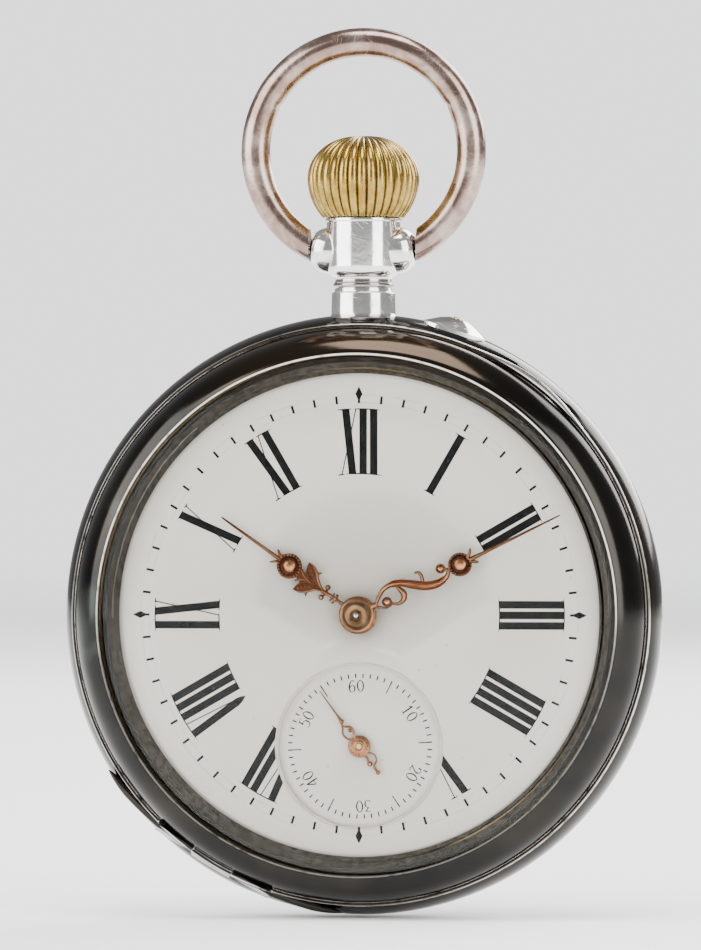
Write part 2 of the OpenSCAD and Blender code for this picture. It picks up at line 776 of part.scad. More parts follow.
module cannon_pinion() {
    color(steel) stand() difference() {
        union() {
            translate([0, 0, plate_top + 0.06]) disc(0.82, cap_z - plate_top - 0.06);
            translate([0, 0, plate_top + 0.1]) pinion(cannon_n, m_cannon, 90, 0.22);
        }
        translate([0, 0, plate_top]) disc(0.5, cap_z - plate_top - 0.15);
    }
}

module hour_wheel() {
    color(brass) stand() difference() {
        union() {
            translate([0, 0, dial_z - 0.3]) wheel(hour_n, m_hour, 90 + 180 / hour_n, 0.18);
            translate([0, 0, dial_z - 0.3]) disc(1.25, hour_z + hand_t - dial_z + 0.3);
        }
        translate([0, 0, dial_z - 1]) disc(0.87, 5);
    }
}

module minute_wheel() {
    color(brass) stand() difference() {
        at(minute_p, 0) {
            translate([0, 0, plate_top + 0.1]) wheel(minute_n, m_cannon, -90 + 180 / minute_n, 0.18);
            translate([0, 0, plate_top + 0.1]) pinion(minute_pn, m_hour, -90, dial_z - 0.1 - plate_top - 0.1);
        }
        at(minute_p, 0) disc(0.3 + run, 20);
    }
}

module setting_wheel(n, p, lead) {
    color(steel) stand() difference() {
        at(p, plate_top + 0.1) wheel(n, m_cannon, lead, 0.2);
        at(p, 0) disc(0.4 + run, 20);
    }
}

module setting_wheel_a() {
    setting_wheel(setting_an, setting_ap, -90);
}

module setting_wheel_b() {
    setting_wheel(setting_bn, setting_bp, -90 + 180 / setting_bn);
}

// ---------------------------------------------------------------- winding and setting

module yoke() {
    tail = pin_dir * (pin_in - 0.5);
    tip = [0.95, groove_y + groove_w / 2];
    color(steel) stand() difference() {
        translate([0, 0, yoke_z]) {
            at(yoke_p, 0) disc(0.9, yoke_t);
            bar(yoke_p, tail, 0.45, yoke_t);
            bar(yoke_p, [3.2, tip[1] + 0.35], 0.35, yoke_t);
            linear_extrude(yoke_t) polygon([[3.3, tip[1] + 0.2], [tip[0] + 0.1, tip[1] - 0.14],
                [tip[0], tip[1] - 0.06], [tip[0], tip[1] + 0.06], [tip[0] + 0.1, tip[1] + 0.14],
                [3.3, tip[1] + 0.5]]);
        }
        at(yoke_p, 0) disc(0.4 + run, 20);
    }
}

module clutch_wheel() {
    s = square + 0.06;
    color(steel) stand() outwards(0) difference() {
        union() {
            translate([0, 0, clutch_y]) pinion(14, (flange_r - 0.02) / 7.55, 0, 0.5);
            translate([0, 0, clutch_y]) disc(groove_r, clutch_l);
            translate([0, 0, groove_y + groove_w]) disc(clutch_r, clutch_l - 0.85 - groove_w);
        }
        translate([-s / 2, -s / 2, clutch_y - 1]) cube([s, s, clutch_l + 2]);
    }
}

module winding_pinion() {
    color(steel) stand() outwards(0) translate([0, 0, winding_y]) difference() {
        linear_extrude(winding_l)
            polygon(teeth(winding_n, winding_tip - 0.55, winding_tip, 0.2, 0.12, 90 + 180 / winding_n));
        translate([0, 0, -1]) disc(stem_r + run, winding_l + 2);
    }
}

module crown_wheel() {
    color(steel) stand() difference() {
        at(crown_wheel_p, ratchet_z) wheel(crown_n, m_wind, 90, ratchet_t);
        at(crown_wheel_p, ratchet_z - 1) disc(1.2 + run, 3);
    }
}

module crown_wheel_core() {
    color(steel) stand() at(crown_wheel_p, 0) {
        translate([0, 0, ratchet_z - 0.02]) disc(1.2, ratchet_t + 0.07);
        translate([0, 0, ratchet_z - 0.22]) disc(1.9, 0.2);
        translate([0, 0, ratchet_z + ratchet_t]) disc(0.5, 0.55);
    }
}

module ratchet_wheel() {
    toward = atan2(crown_wheel_p[1] - barrel_p[1], crown_wheel_p[0] - barrel_p[0]);
    // the crown wheel's tooth nearest the line of centres decides where the ratchet's gap lies
    pitch = 360 / crown_n;
    off = (toward + 180 - 90) / pitch - round((toward + 180 - 90) / pitch);
    lead = toward + 180 / ratchet_n + off * 360 / ratchet_n;
    color(steel) stand() difference() {
        at(barrel_p, ratchet_z) wheel(ratchet_n, m_wind, lead, ratchet_t);
        at(barrel_p, ratchet_z - 1) translate([-0.85, -0.85, 0]) cube([1.7, 1.7, 3]);
    }
}

module ratchet_screw() {
    color(steel) stand() at(barrel_p, ratchet_z) screw(1.7, 0.25, 0.4, 0.9);
}

click_dir = (barrel_p - click_p) / norm(barrel_p - click_p);
click_tip = click_p + (norm(barrel_p - click_p) - m_wind * (ratchet_n / 2 + 0.85) - 0.06 - 0.3) * click_dir;

module click() {
    color(steel) stand() difference() {
        translate([0, 0, ratchet_z]) {
            at(click_p, 0) disc(1.1, ratchet_t);
            bar(click_p, click_tip, 0.3, ratchet_t);
        }
        at(click_p, 0) disc(0.5 + run, 20);
    }
}

module click_spring() {
    r = 2.4;
    color(steel) stand() translate([0, 0, bridge_z - 0.2]) difference() {
        at(click_p + polar(r + 1.2, 255), 0) rotate(35) {
            disc(0.7, 0.2);
            rotate_extrude(angle = 50, $fn = 48) translate([r - 0.1, 0]) square([0.2, 0.2]);
            translate([0, -0.1, 0]) cube([r, 0.2, 0.2]);
        }
        at(click_p, -1) disc(1.15, 3);
    }
}

// ---------------------------------------------------------------- plates and bridges

module pivot_holes(list, r) {
    for (p = list) at(p, -1) disc(r, 30);
}

module main_plate() {
    color(gilt) stand() difference() {
        union() {
            translate([0, 0, plate_z]) disc(plate_r, plate_t, $fn = 96);
            at(minute_p, plate_top - eps) disc(0.3, dial_z - 0.08 - plate_top);
            for (p = [setting_ap, setting_bp]) at(p, plate_top - eps) disc(0.4, 0.4);
            for (p = concat(barrel_pillars, train_pillars)) at(p, bridge_top) disc(pillar_r, train_h + eps);
            at(cock_foot, cock_z + cock_t) disc(2.1 * k, plate_z - cock_z - cock_t + eps);
            at(pallet_foot, pallet_cock_z + pallet_cock_t)
                disc(1.1 * k, plate_z - pallet_cock_z - pallet_cock_t + eps);
            at(yoke_p, yoke_z) disc(0.4, plate_z - yoke_z + eps);
            translate([-1.4, plate_r - 2.3, stem_z - 1.3]) cube([2.8, 1.6, plate_z - stem_z + 1.3 + eps]);
            translate([-1.1, clutch_y - 2.25, stem_z - 0.8]) cube([2.2, 0.8, plate_z - stem_z + 0.8 + eps]);
        }
        translate([-2.7 * k, clutch_y - 1.3, plate_z - eps])
            cube([5.4 * k, winding_y + winding_l + 1.5 - clutch_y, plate_t + 1]);
        outwards(0) disc(stem_r + run, plate_r + 3);
        pivot_holes([[0, 0]], 0.5 + run);
        pivot_holes([barrel_p], 0.8 + run);
        at(fourth_p, plate_z - eps) disc(0.75, plate_t + 1);
        for (p = [third_p, escape_p, pallet_p, balance_p]) at(p, plate_z - eps) disc(0.55, 0.6);
        for (p = concat(barrel_pillars, train_pillars)) at(p, bridge_top - 1) disc(screw_r, train_h + 1.6);
        at(cock_foot, 0) disc(screw_r, plate_z + 0.6);
        at(pallet_foot, 0) disc(screw_r, plate_z + 0.6);
        for (a = case_screw_a) at(polar(plate_r - 1.3, a), plate_z - 1) disc(0.45, 4);
        for (a = foot_angles) at(polar(foot_r, a), plate_z - 1) disc(0.5, 4);
        for (a = foot_angles) at(polar(foot_r, a), plate_z + 0.5) rotate([0, 0, a]) rotate([0, 90, 0])
            disc(0.3, 4);
    }
}

module bridge_blank() {
    translate([0, 0, bridge_z]) disc(bridge_r, bridge_t, $fn = 96);
}

module bridge_cuts(pillars) {
    for (p = pillars) at(p, bridge_z - 1) disc(screw_r, 4);
    for (p = pillars) at(p, bridge_z - 1) disc(1.05, 1.3);
    for (a = case_screw_a) at(polar(plate_r - 1.3, a), bridge_z - 1) disc(1.4, 4);
    outwards(0) translate([0, 0, winding_y - 0.1]) disc(winding_tip + 0.15, winding_l + 0.2);
    outwards(0) translate([0, 0, clutch_y - 1.4]) disc(flange_r + 0.12, winding_y - clutch_y + 1.5);
}

module barrel_bridge() {
    low = 2.9 * k;
    color(gilt) stand() difference() {
        intersection() {
            bridge_blank();
            union() {
                translate([-plate_r, low, 0]) cube([2 * plate_r, plate_r, 20]);
                at(barrel_p, 0) disc(7.6 * k, 20);
                translate([-plate_r, 1.2 * k, 0]) cube([8 * k, 4 * k, 20]);
            }
        }
        bridge_cuts(barrel_pillars);
        at(crown_wheel_p, bridge_z - 1) disc(m_wind * crown_n / 2 + 0.4, 1.75);
        at(crown_wheel_p, bridge_z - 1) disc(0.5, 4);
        at(barrel_p, bridge_z - 1) disc(m_wind * ratchet_n / 2 + 0.4, 1.75);
        at(barrel_p, bridge_z - 1) disc(0.8 + run, 4);
        at(click_p, bridge_z - 1) disc(1.35, 1.7);
        translate([0, 0, bridge_z - 1]) bar(click_p, barrel_p, 0.75, 1.7);
        translate([0, 0, bridge_z - 1]) disc(3, 4);
    }
    color(gilt) stand() at(click_p, ratchet_z) disc(0.5, 0.6);
}

module train_bridge() {
    color(gilt) stand() difference() {
        intersection() {
            bridge_blank();
            linear_extrude(20)
                polygon(k * [[-2.6, 2.6], [22, 2.6], [22, -22], [-7.2, -22], [-6.2, -11.5], [-2.6, -6]]);
        }
        bridge_cuts(train_pillars);
        at(barrel_p, bridge_z - 1) disc(7.8 * k, 4);
        at(balance_p, bridge_z - 1) disc(balance_r + 0.25, 4);
        pivot_holes([[0, 0]], 0.5 + run);
        for (p = [third_p, fourth_p, escape_p]) at(p, bridge_z + 0.4) disc(0.55, 2);
        for (p = [third_p, fourth_p, escape_p]) at(p, bridge_z - 1) disc(0.3, 4);
    }
}

module balance_cock() {
    color(gilt) stand() difference() {
        translate([0, 0, cock_z]) {
            at(cock_foot, 0) disc(2.1 * k, cock_t);
            bar(cock_foot, balance_p, 1.3 * k, cock_t);
            at(balance_p, 0) disc(2.1 * k, cock_t);
        }
        at(cock_foot, cock_z - 1) disc(screw_r, 4);
        at(cock_foot, cock_z - 1) disc(1.05, 1.3);
        at(balance_p, cock_z + 0.35) disc(0.55, 2);
        at(balance_p, cock_z - 1) disc(0.3, 4);
    }
}

module pallet_cock() {
    color(gilt) stand() difference() {
        translate([0, 0, pallet_cock_z]) {
            bar(pallet_foot, pallet_p, 0.85 * k, pallet_cock_t);
            at(pallet_foot, 0) disc(1.1 * k, pallet_cock_t);
        }
        at(pallet_foot, 0) disc(screw_r, 20);
        at(pallet_p, 0) disc(0.2, 20);
    }
}

module bridge_screws() {
    color(steel) stand() {
        for (p = concat(barrel_pillars, train_pillars)) at(p, bridge_z + 0.3)
            screw(0.95, 0.4, screw_r, bridge_t + train_h + 0.1);
        at(cock_foot, cock_z + 0.3) screw(0.95, 0.4, screw_r, plate_z - cock_z);
        at(pallet_foot, pallet_cock_z) screw(0.8, 0.2, screw_r, plate_z - pallet_cock_z + 0.3);
    }
}

module jewel(p, z, hole) {
    at(p, z) ring(0.55, hole, 0.35);
}

module jewels() {
    color(ruby) stand() {
        for (p = [third_p, fourth_p, escape_p]) jewel(p, bridge_top - 0.35, 0.19);
        jewel(balance_p, cock_z + cock_t - 0.35, 0.14);
        for (p = [third_p, escape_p, pallet_p]) jewel(p, plate_z, 0.19);
        jewel(balance_p, plate_z, 0.14);
        at(fourth_p, plate_z) ring(0.75, 0.34, 0.4);
    }
}

// ---------------------------------------------------------------- going train

module barrel() {
    t = 0.3;
    lead = barrel_a + 180;
    color(brass) stand() at(barrel_p, 0) difference() {
        union() {
            translate([0, 0, drum_z]) disc(barrel_r - 0.3 * k, drum_top - drum_z);
            translate([0, 0, drum_top - 0.9]) wheel(barrel_n, m_barrel, lead, 0.6);
        }
        translate([0, 0, drum_z - 1]) disc(barrel_r - 0.6 * k, drum_top - drum_z + 1 - t);
        translate([0, 0, drum_z]) disc(0.8 + run, 5);
    }
}

module barrel_lid() {
    color(brass) stand() at(barrel_p, drum_z) ring(barrel_r - 0.6 * k, 0.8 + run, 0.2);
}

module barrel_arbor() {
    color(steel) stand() at(barrel_p, 0) difference() {
        union() {
            translate([0, 0, drum_z + 0.25]) disc(2 * k, drum_top - drum_z - 0.6);
            translate([0, 0, ratchet_z + ratchet_t]) disc(0.8, plate_top - ratchet_z - ratchet_t - 0.1);
            translate([-0.82, -0.82, ratchet_z]) intersection() {
                cube([1.64, 1.64, ratchet_t + 0.05]);
                translate([0.82, 0.82, 0]) disc(1.1, 2);
            }
        }
        translate([0, 0, ratchet_z - 1]) disc(0.4, 1.9);
    }
}

module mainspring() {
    h = drum_top - drum_z - 0.8;
    color(steel) stand() at(barrel_p, drum_z + 0.35)
        spiral(2.35 * k, barrel_r - 0.9 * k, 9, 0.22, h, 24);
}

// A brass wheel and a steel pinion on one arbor
module centre_wheel() {
    color(brass) stand() difference() {
        union() {
            translate([0, 0, centre_wz]) difference() {
                wheel(centre_n, m_centre, third_turn - 90, wheel_t);
                spokes(1.6 * k, 5.9 * k, 5, 0.8 * k, wheel_t);
            }
            translate([0, 0, drum_top - 1]) pinion(centre_pn, m_barrel, barrel_a + 180 / centre_pn, 0.8);
            translate([0, 0, bridge_z]) disc(0.5, cap_z - 0.15 - bridge_z);
            translate([0, 0, centre_wz]) disc(0.8, drum_top - centre_wz - 0.2);
        }
    }
}

module third_wheel() {
    to_centre = third_turn - 90 + 180;
    to_fourth = atan2(fourth_p[1] - third_p[1], fourth_p[0] - third_p[0]);
    color(brass) stand() at(third_p, 0) {
        translate([0, 0, third_wz]) difference() {
            wheel(third_n, m_third, to_fourth, wheel_t);
            spokes(1.2 * k, 4.8 * k, 5, 0.6 * k, wheel_t);
        }
        translate([0, 0, bridge_top + 0.04]) pinion(third_pn, m_centre, to_centre + 180 / third_pn, 0.42);
        translate([0, 0, bridge_top + 0.04]) disc(0.35, plate_z - bridge_top - 0.08);
        translate([0, 0, bridge_top - 0.3]) disc(0.16, train_h + 0.6);
    }
}

module fourth_wheel() {
    to_third = atan2(third_p[1] - fourth_p[1], third_p[0] - fourth_p[0]);
    color(brass) stand() at(fourth_p, 0) {
        translate([0, 0, fourth_wz]) difference() {
            wheel(fourth_n, m_fourth, 214.5, wheel_t);
            spokes(1.1 * k, 4.3 * k, 5, 0.5 * k, wheel_t);
        }
        translate([0, 0, third_wz - 0.25]) pinion(fourth_pn, m_third, to_third + 180 / fourth_pn, 0.7);
        translate([0, 0, bridge_top + 0.04]) disc(0.35, plate_z - bridge_top - 0.3);
        translate([0, 0, bridge_top - 0.3]) disc(0.16, 0.5);
        translate([0, 0, plate_z - 0.4]) disc(0.3, second_z - plate_z + 0.38);
        translate([0, 0, second_z - 0.1]) disc(0.22, hand_t + 0.2);
    }
}

module escape_wheel() {
    lead = 214.5 + 180;
    club = [for (i = [0 : escape_n - 1],
        s = [[1.9, -0.32], [2.2, 0.1], [2.62, 0.26], [2.66, 0.4], [2.15, 0.42], [1.9, 0.3]])
        polar(s[0] * k, lead + (i + s[1]) * 360 / escape_n)];
    color(brass) stand() at(escape_p, 0) {
        translate([0, 0, escape_wz]) difference() {
            linear_extrude(wheel_t) polygon(club);
            spokes(0.8 * k, 1.6 * k, 4, 0.4 * k, wheel_t);
        }
        translate([0, 0, fourth_wz - 0.15]) pinion(escape_pn, m_fourth, lead + 180 / escape_pn, 0.5);
        translate([0, 0, bridge_top + 0.04]) disc(0.28, plate_z - bridge_top - 0.08);
        translate([0, 0, bridge_top - 0.3]) disc(0.16, train_h + 0.6);
    }
}

module pallet_fork() {
    gap = 3.3 * k - 2.66 * k - 0.32;
    reach = norm(balance_p - pallet_p);
    color(steel) stand() at(pallet_p, 0) rotate(lever_a) {
        translate([0, 0, pallet_z]) {
            difference() {
                union() {
                    bar([0, 0], [reach - 1.9 * k, 0], 0.2 * k, pallet_t);
                    translate([reach - 2 * k, -0.55 * k, 0]) cube([0.75 * k, 1.1 * k, pallet_t]);
                    bar([0, 0], [-0.25 * k, 1.9 * k], 0.26 * k, pallet_t);
                    bar([0, 0], [-0.25 * k, -1.9 * k], 0.26 * k, pallet_t);
                    disc(max(0.4, min(0.55, gap + 0.3)), pallet_t);
                }
                translate([reach - 1.55 * k, -0.2 * k, -1]) cube([2, 0.4 * k, 3]);
            }
        }
        translate([0, 0, pallet_cock_z + 0.05]) disc(0.16, plate_z + 0.3 - pallet_cock_z);
    }
}

module balance_wheel() {
    color(brass) stand() at(balance_p, balance_z) {
        ring(balance_r, balance_r - 0.6 * k, balance_t);
        ring(1 * k, 0.45, balance_t * 0.7);
        for (s = [0, 180]) rotate(lever_a + 75 + s) translate([0.8 * k, -0.45 * k, 0])
            cube([balance_r - 1.1 * k, 0.9 * k, balance_t * 0.6]);
    }
}

module balance_staff() {
    color(steel) stand() at(balance_p, 0) {
        translate([0, 0, cock_z + cock_t + 0.05]) disc(0.45, roller_z - cock_z - cock_t);
        translate([0, 0, roller_z - 0.05]) disc(1.45 * k, 0.25);
        translate([0, 0, roller_z]) disc(0.3, plate_z - roller_z - 0.04);
        translate([0, 0, cock_z + 0.5]) disc(0.11, plate_z - cock_z - 0.25);
        rotate(lever_a + 180) translate([1.1 * k, 0, roller_z + 0.1]) disc(0.14, 0.25);
    }
}

module hairspring() {
    color(steel) stand() at(balance_p, spring_z) {
        ring(0.75, 0.45, 0.18);
        spiral(0.72, 3.3 * k, 9, 0.06, 0.18, 24);
    }
}

module regulator() {
    out = (balance_p - cock_foot) / norm(balance_p - cock_foot);
    color(steel) stand() difference() {
        translate([0, 0, cock_z - 0.25]) {
            at(balance_p, 0) disc(1.35, 0.22);
            bar(balance_p, balance_p + 2.6 * k * out, 0.25, 0.22);
            bar(balance_p, balance_p - 4 * k * out, 0.18, 0.22);
        }
        at(balance_p, 0) disc(0.7, 20);
    }
}

case_middle();
pendant();
bezel();
crystal();
back_cover();
cuvette();
hinge_pins();
bow();
bow_screws();
crown();
stem();
set_pin();
set_pin_guard();
set_pin_spring();
case_screws();
dial();
seconds_dial();
dial_feet();
dial_screws();
hour_hand();
minute_hand();
seconds_hand();
hand_cap();
cannon_pinion();
hour_wheel();
minute_wheel();
setting_wheel_a();
setting_wheel_b();
yoke();
clutch_wheel();
winding_pinion();
crown_wheel();
crown_wheel_core();
ratchet_wheel();
ratchet_screw();
click();
click_spring();
main_plate();
barrel_bridge();
train_bridge();
balance_cock();
pallet_cock();
barrel();
barrel_lid();
barrel_arbor();
mainspring();
centre_wheel();
third_wheel();
fourth_wheel();
escape_wheel();
pallet_fork();
balance_wheel();
balance_staff();
hairspring();
regulator();
bridge_screws();
jewels();
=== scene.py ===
"""Open face pocket watch with an enamel dial: the looks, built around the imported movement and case."""

import math

import bmesh
import bpy
import numpy as np
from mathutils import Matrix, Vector
from mathutils.geometry import delaunay_2d_cdt


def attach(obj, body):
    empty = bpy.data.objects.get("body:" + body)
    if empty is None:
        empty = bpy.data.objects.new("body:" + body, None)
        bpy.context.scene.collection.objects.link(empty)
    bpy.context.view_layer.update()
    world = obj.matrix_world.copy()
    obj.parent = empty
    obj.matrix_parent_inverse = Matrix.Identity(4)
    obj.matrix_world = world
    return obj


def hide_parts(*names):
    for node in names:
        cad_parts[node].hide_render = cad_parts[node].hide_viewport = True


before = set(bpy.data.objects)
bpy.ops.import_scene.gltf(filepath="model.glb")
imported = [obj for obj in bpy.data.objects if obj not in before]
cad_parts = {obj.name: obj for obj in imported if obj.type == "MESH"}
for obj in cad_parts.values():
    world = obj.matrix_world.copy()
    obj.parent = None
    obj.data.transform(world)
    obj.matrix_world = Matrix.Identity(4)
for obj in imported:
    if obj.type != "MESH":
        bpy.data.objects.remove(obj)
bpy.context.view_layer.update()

MM = 0.001

WELD = 2e-5 * MM

# Sizes of the case, in mm from the hands' axis and from the back cover's flat disc
CASE_R, EDGE_R, SPIGOT_R, BORE_R = 25.0, 24.15, 23.7, 21.65
SEAM_BACK, SEAM_FRONT, STEM_Z = 4.2, 9.6, 6.9
HINGE_CLOCK, LIP_CLOCK, PIN_CLOCK = 211.0, 38.0, 18.0
HINGE_R, KNUCKLE_R = 23.9, 0.7
BAND_HALF, BAND_BULGE = 2.7, 0.85
# Along each hinge: the outer knuckles' far end, the lid's gap, the wider gap with the inner cover, and the play
PIN_END, KNUCKLE_END, INNER_GAP, KNUCKLE_PLAY = 5.5, 1.95, 3.7, 0.05
LIP_REACH = 0.40
CRYSTAL_R, CRYSTAL_EDGE_Z, CRYSTAL_RISE, CRYSTAL_T = 20.85, 12.65, 1.1, 0.9
DIAL_TOP, DIAL_UNDER, DIAL_R, DIAL_EYE_R = 10.0, 9.3, 21.2, 1.55
SECONDS_TOP = 9.29
SECONDS_CENTRE, SECONDS_R = (0.0, -10.9), 6.75
CROWN_MIDDLE, CROWN_REACH, CROWN_ABOVE, CROWN_BELOW, RIBS = 36.3, 4.25, 3.5, 4.6, 34


# ---------------------------------------------------------------- places and meshes

def upright(points):
    """Places on the bench (x right, y to the pendant, z to the crystal, in mm) on the standing watch, in metres."""
    p = np.asarray(points, float).reshape(-1, 3)
    return np.stack([p[:, 0], -p[:, 2], p[:, 1]], 1) * MM


def clock(radius, degrees):
    """A place on the bench by its distance from the hands' axis and its clock direction."""
    a = math.radians(degrees)
    return radius * math.sin(a), radius * math.cos(a)


def joined(*parts):
    """Several (points, faces) as one."""
    points, faces, start = [], [], 0
    for some_points, some_faces in parts:
        some_points = np.asarray(some_points, float).reshape(-1, 3)
        points.append(some_points)
        faces += [tuple(i + start for i in face) for face in some_faces]
        start += len(some_points)
    return np.vstack(points), faces


def placed(part, shift=(0, 0, 0), axes=None):
    """A part set on other axes if they are given, and shifted."""
    points, faces = part
    points = np.asarray(points, float).reshape(-1, 3)
    if axes is not None:
        points = points @ np.asarray(axes, float)
    return points + np.asarray(shift, float), faces


def closed_mesh(name, part, merged=True, choose=None):
    """A mesh on the standing watch from bench places, faced outwards. choose(x, y, z) gives each face its finish."""
    points, faces = part
    mesh = bpy.data.meshes.new(name)
    mesh.from_pydata(upright(points).tolist(), [], faces)
    work = bmesh.new()
    work.from_mesh(mesh)
    if merged:
        bmesh.ops.remove_doubles(work, verts=work.verts, dist=WELD)
        wires = [edge for edge in work.edges if not edge.link_faces]
        bmesh.ops.delete(work, geom=wires, context="EDGES")
    bmesh.ops.recalc_face_normals(work, faces=work.faces)
    if choose is not None:
        for face in work.faces:
            c = face.calc_center_median() / MM
            face.material_index = choose(c.x, c.z, -c.y)
    work.to_mesh(mesh)
    work.free()
    return mesh


def smoothed(mesh, crease):
    """Smooth shading with a sharp edge wherever the surface turns by more than crease degrees."""
    mesh.shade_smooth()
    if crease:
        mesh.set_sharp_from_angle(angle=math.radians(crease))


def piece(name, part, finishes, body, stands_for=(), crease=32, choose=None):
    """One piece of the watch from bench places, riding on its body."""
    return finished(name, closed_mesh(name, part, True, choose), finishes, body, stands_for, crease)


def finished(name, mesh, finishes, body, stands_for=(), crease=32):
    """Gives a plain mesh its finishes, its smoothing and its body."""
    mesh.name = name
    mesh.materials.clear()
    for finish in finishes if isinstance(finishes, (list, tuple)) else [finishes]:
        mesh.materials.append(finish)
    smoothed(mesh, crease)
    made = bpy.data.objects.new(name, mesh)
    bpy.context.scene.collection.objects.link(made)
    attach(made, body)
    if stands_for:
        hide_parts(*stands_for)
    return made


def turned(profile, steps=192, shape=None):
    """A closed outline of (radius, height) turned about z. shape(radius, height, degrees) may move each point."""
    points = []
    for i in range(steps):
        degrees = 360 * i / steps
        a = math.radians(degrees)
        for r, z in profile:
            if shape:
                r, z = shape(r, z, degrees)
            points.append((r * math.cos(a), r * math.sin(a), z))
    n, faces = len(profile), []
    for i in range(steps):
        here, there = i * n, (i + 1) % steps * n
        for j in range(n):
            k = (j + 1) % n
            faces.append((here + j, there + j, there + k, here + k))
    return points, faces


def softened(corners, steps=5):
    """A closed outline of (x, y, radius) with each corner rounded by its radius."""
    out, n = [], len(corners)
    for i, (x, y, r) in enumerate(corners):
        p = Vector((x, y))
        before = Vector(corners[i - 1][:2]) - p
        after = Vector(corners[(i + 1) % n][:2]) - p
        angle = before.angle(after)
        if r <= 0 or angle > math.pi - 0.02:
            out.append((x, y))
            continue
        cut = min(r / math.tan(angle / 2), 0.48 * before.length, 0.48 * after.length)
        r = cut * math.tan(angle / 2)
        before.normalize()
        after.normalize()
        centre = p + (before + after).normalized() * (r / math.sin(angle / 2))
        first, last = p + before * cut - centre, p + after * cut - centre
        a = math.atan2(first.y, first.x)
        d = (math.atan2(last.y, last.x) - a + math.pi) % (2 * math.pi) - math.pi
        out += [(centre.x + r * math.cos(a + d * k / steps), centre.y + r * math.sin(a + d * k / steps))
                for k in range(steps + 1)]
    return out


def arc(centre, radius, first, last, steps):
    """Points on a circle from one direction to another, in degrees."""
    return [(centre[0] + radius * math.cos(math.radians(first + (last - first) * i / steps)),
             centre[1] + radius * math.sin(math.radians(first + (last - first) * i / steps)))
            for i in range(steps + 1)]


def along_stem(part, degrees=0.0):
    """A part drawn up the z axis, laid so that z points outwards at a clock direction, at the stem's height."""
    outward = np.array([*clock(1, degrees), 0])
    side = np.array([*clock(1, degrees + 90), 0])
    return placed(part, (0, 0, STEM_Z), [side, (0, 0, 1), outward])


def tangent_rod(radius, a, b, seam, rounding=0.08):
    """A round rod on a lid's hinge line from a to b, with its edges rounded."""
    outline = softened([(0, a, 0), (radius, a, rounding), (radius, b, rounding), (0, b, 0)], 3)
    out, side = clock(1, HINGE_CLOCK), clock(1, HINGE_CLOCK + 90)
    return placed(turned(outline, 28), (out[0] * HINGE_R, out[1] * HINGE_R, seam),
                  [(out[0], out[1], 0), (0, 0, 1), (side[0], side[1], 0)])


def carve(target, tool_part, operation="DIFFERENCE"):
    """Cuts a solid, given in bench places, out of a piece, or keeps only what lies in it with INTERSECT."""
    mesh = closed_mesh("cutter", tool_part)
    cutter = bpy.data.objects.new("cutter", mesh)
    bpy.context.scene.collection.objects.link(cutter)
    cut = target.modifiers.new("cut", "BOOLEAN")
    cut.operation, cut.solver, cut.object = operation, "EXACT", cutter
    bpy.context.view_layer.update()
    result = bpy.data.meshes.new_from_object(target.evaluated_get(bpy.context.evaluated_depsgraph_get()))
    target.modifiers.remove(cut)
    old, target.data = target.data, result
    bpy.data.meshes.remove(old)
    bpy.data.objects.remove(cutter)
    bpy.data.meshes.remove(mesh)


def carved(part, tool_part):
    """A part with a solid cut out of it, still in bench places."""
    holder = bpy.data.objects.new("part", closed_mesh("part", part, False))
    bpy.context.scene.collection.objects.link(holder)
    carve(holder, tool_part)
    points = [(v.co.x / MM, v.co.z / MM, -v.co.y / MM) for v in holder.data.vertices]
    faces = [tuple(face.vertices) for face in holder.data.polygons]
    bpy.data.objects.remove(holder)
    return np.array(points).reshape(-1, 3), faces


def smooth_path(points, steps=8):
    """More points on a smooth curve through the given ones. Each may hold more than two numbers, such as a width."""
    p = np.asarray(points, float)
    n = len(p)
    out = []
    for i in range(n - 1):
        a, b, c, d = (p[min(max(i + k, 0), n - 1)] for k in (-1, 0, 1, 2))
        for j in range(steps):
            t = j / steps
            out.append(0.5 * (2 * b + (c - a) * t + (2 * a - 5 * b + 4 * c - d) * t * t
                              + (3 * b - a - 3 * c + d) * t ** 3))
    out.append(p[-1])
    return np.array(out)


# ---------------------------------------------------------------- nodes

class Socket:
    """A value or colour on its way through a tree of nodes. Plain arithmetic on it adds the nodes that work it out."""

    def __init__(self, tree, socket):
        self.tree, self.socket = tree, socket

    def sum(self, operation, *values):
        return self.tree.add("ShaderNodeMath", {"operation": operation}, values)

    def __add__(self, other):
        return self.sum("ADD", self, other)

    def __sub__(self, other):
        return self.sum("SUBTRACT", self, other)

    def __rsub__(self, other):
        return self.sum("SUBTRACT", other, self)

    def __mul__(self, other):
        return self.sum("MULTIPLY", self, other)

    def __truediv__(self, other):
        return self.sum("DIVIDE", self, other)

    def __pow__(self, other):
        return self.sum("POWER", self, other)

    __radd__, __rmul__ = __add__, __mul__

    def rise(self, low, high):
        """0 below low, 1 above high, and smooth between. With low above high it falls instead."""
        return self.tree.add("ShaderNodeMapRange", {"interpolation_type": "SMOOTHSTEP"},
                             {"Value": self, "From Min": low, "From Max": high})

    def near(self, middle, reach):
        """1 at middle, falling to 0 at reach to either side of it."""
        return self.sum("ABSOLUTE", self - middle).rise(reach, reach * 0.25)

    def least(self, other):
        return self.sum("MINIMUM", self, other)

    def most(self, other):
        return self.sum("MAXIMUM", self, other)

    def wave(self, turns=1.0):
        return self.sum("SINE", self * (2 * math.pi * turns))


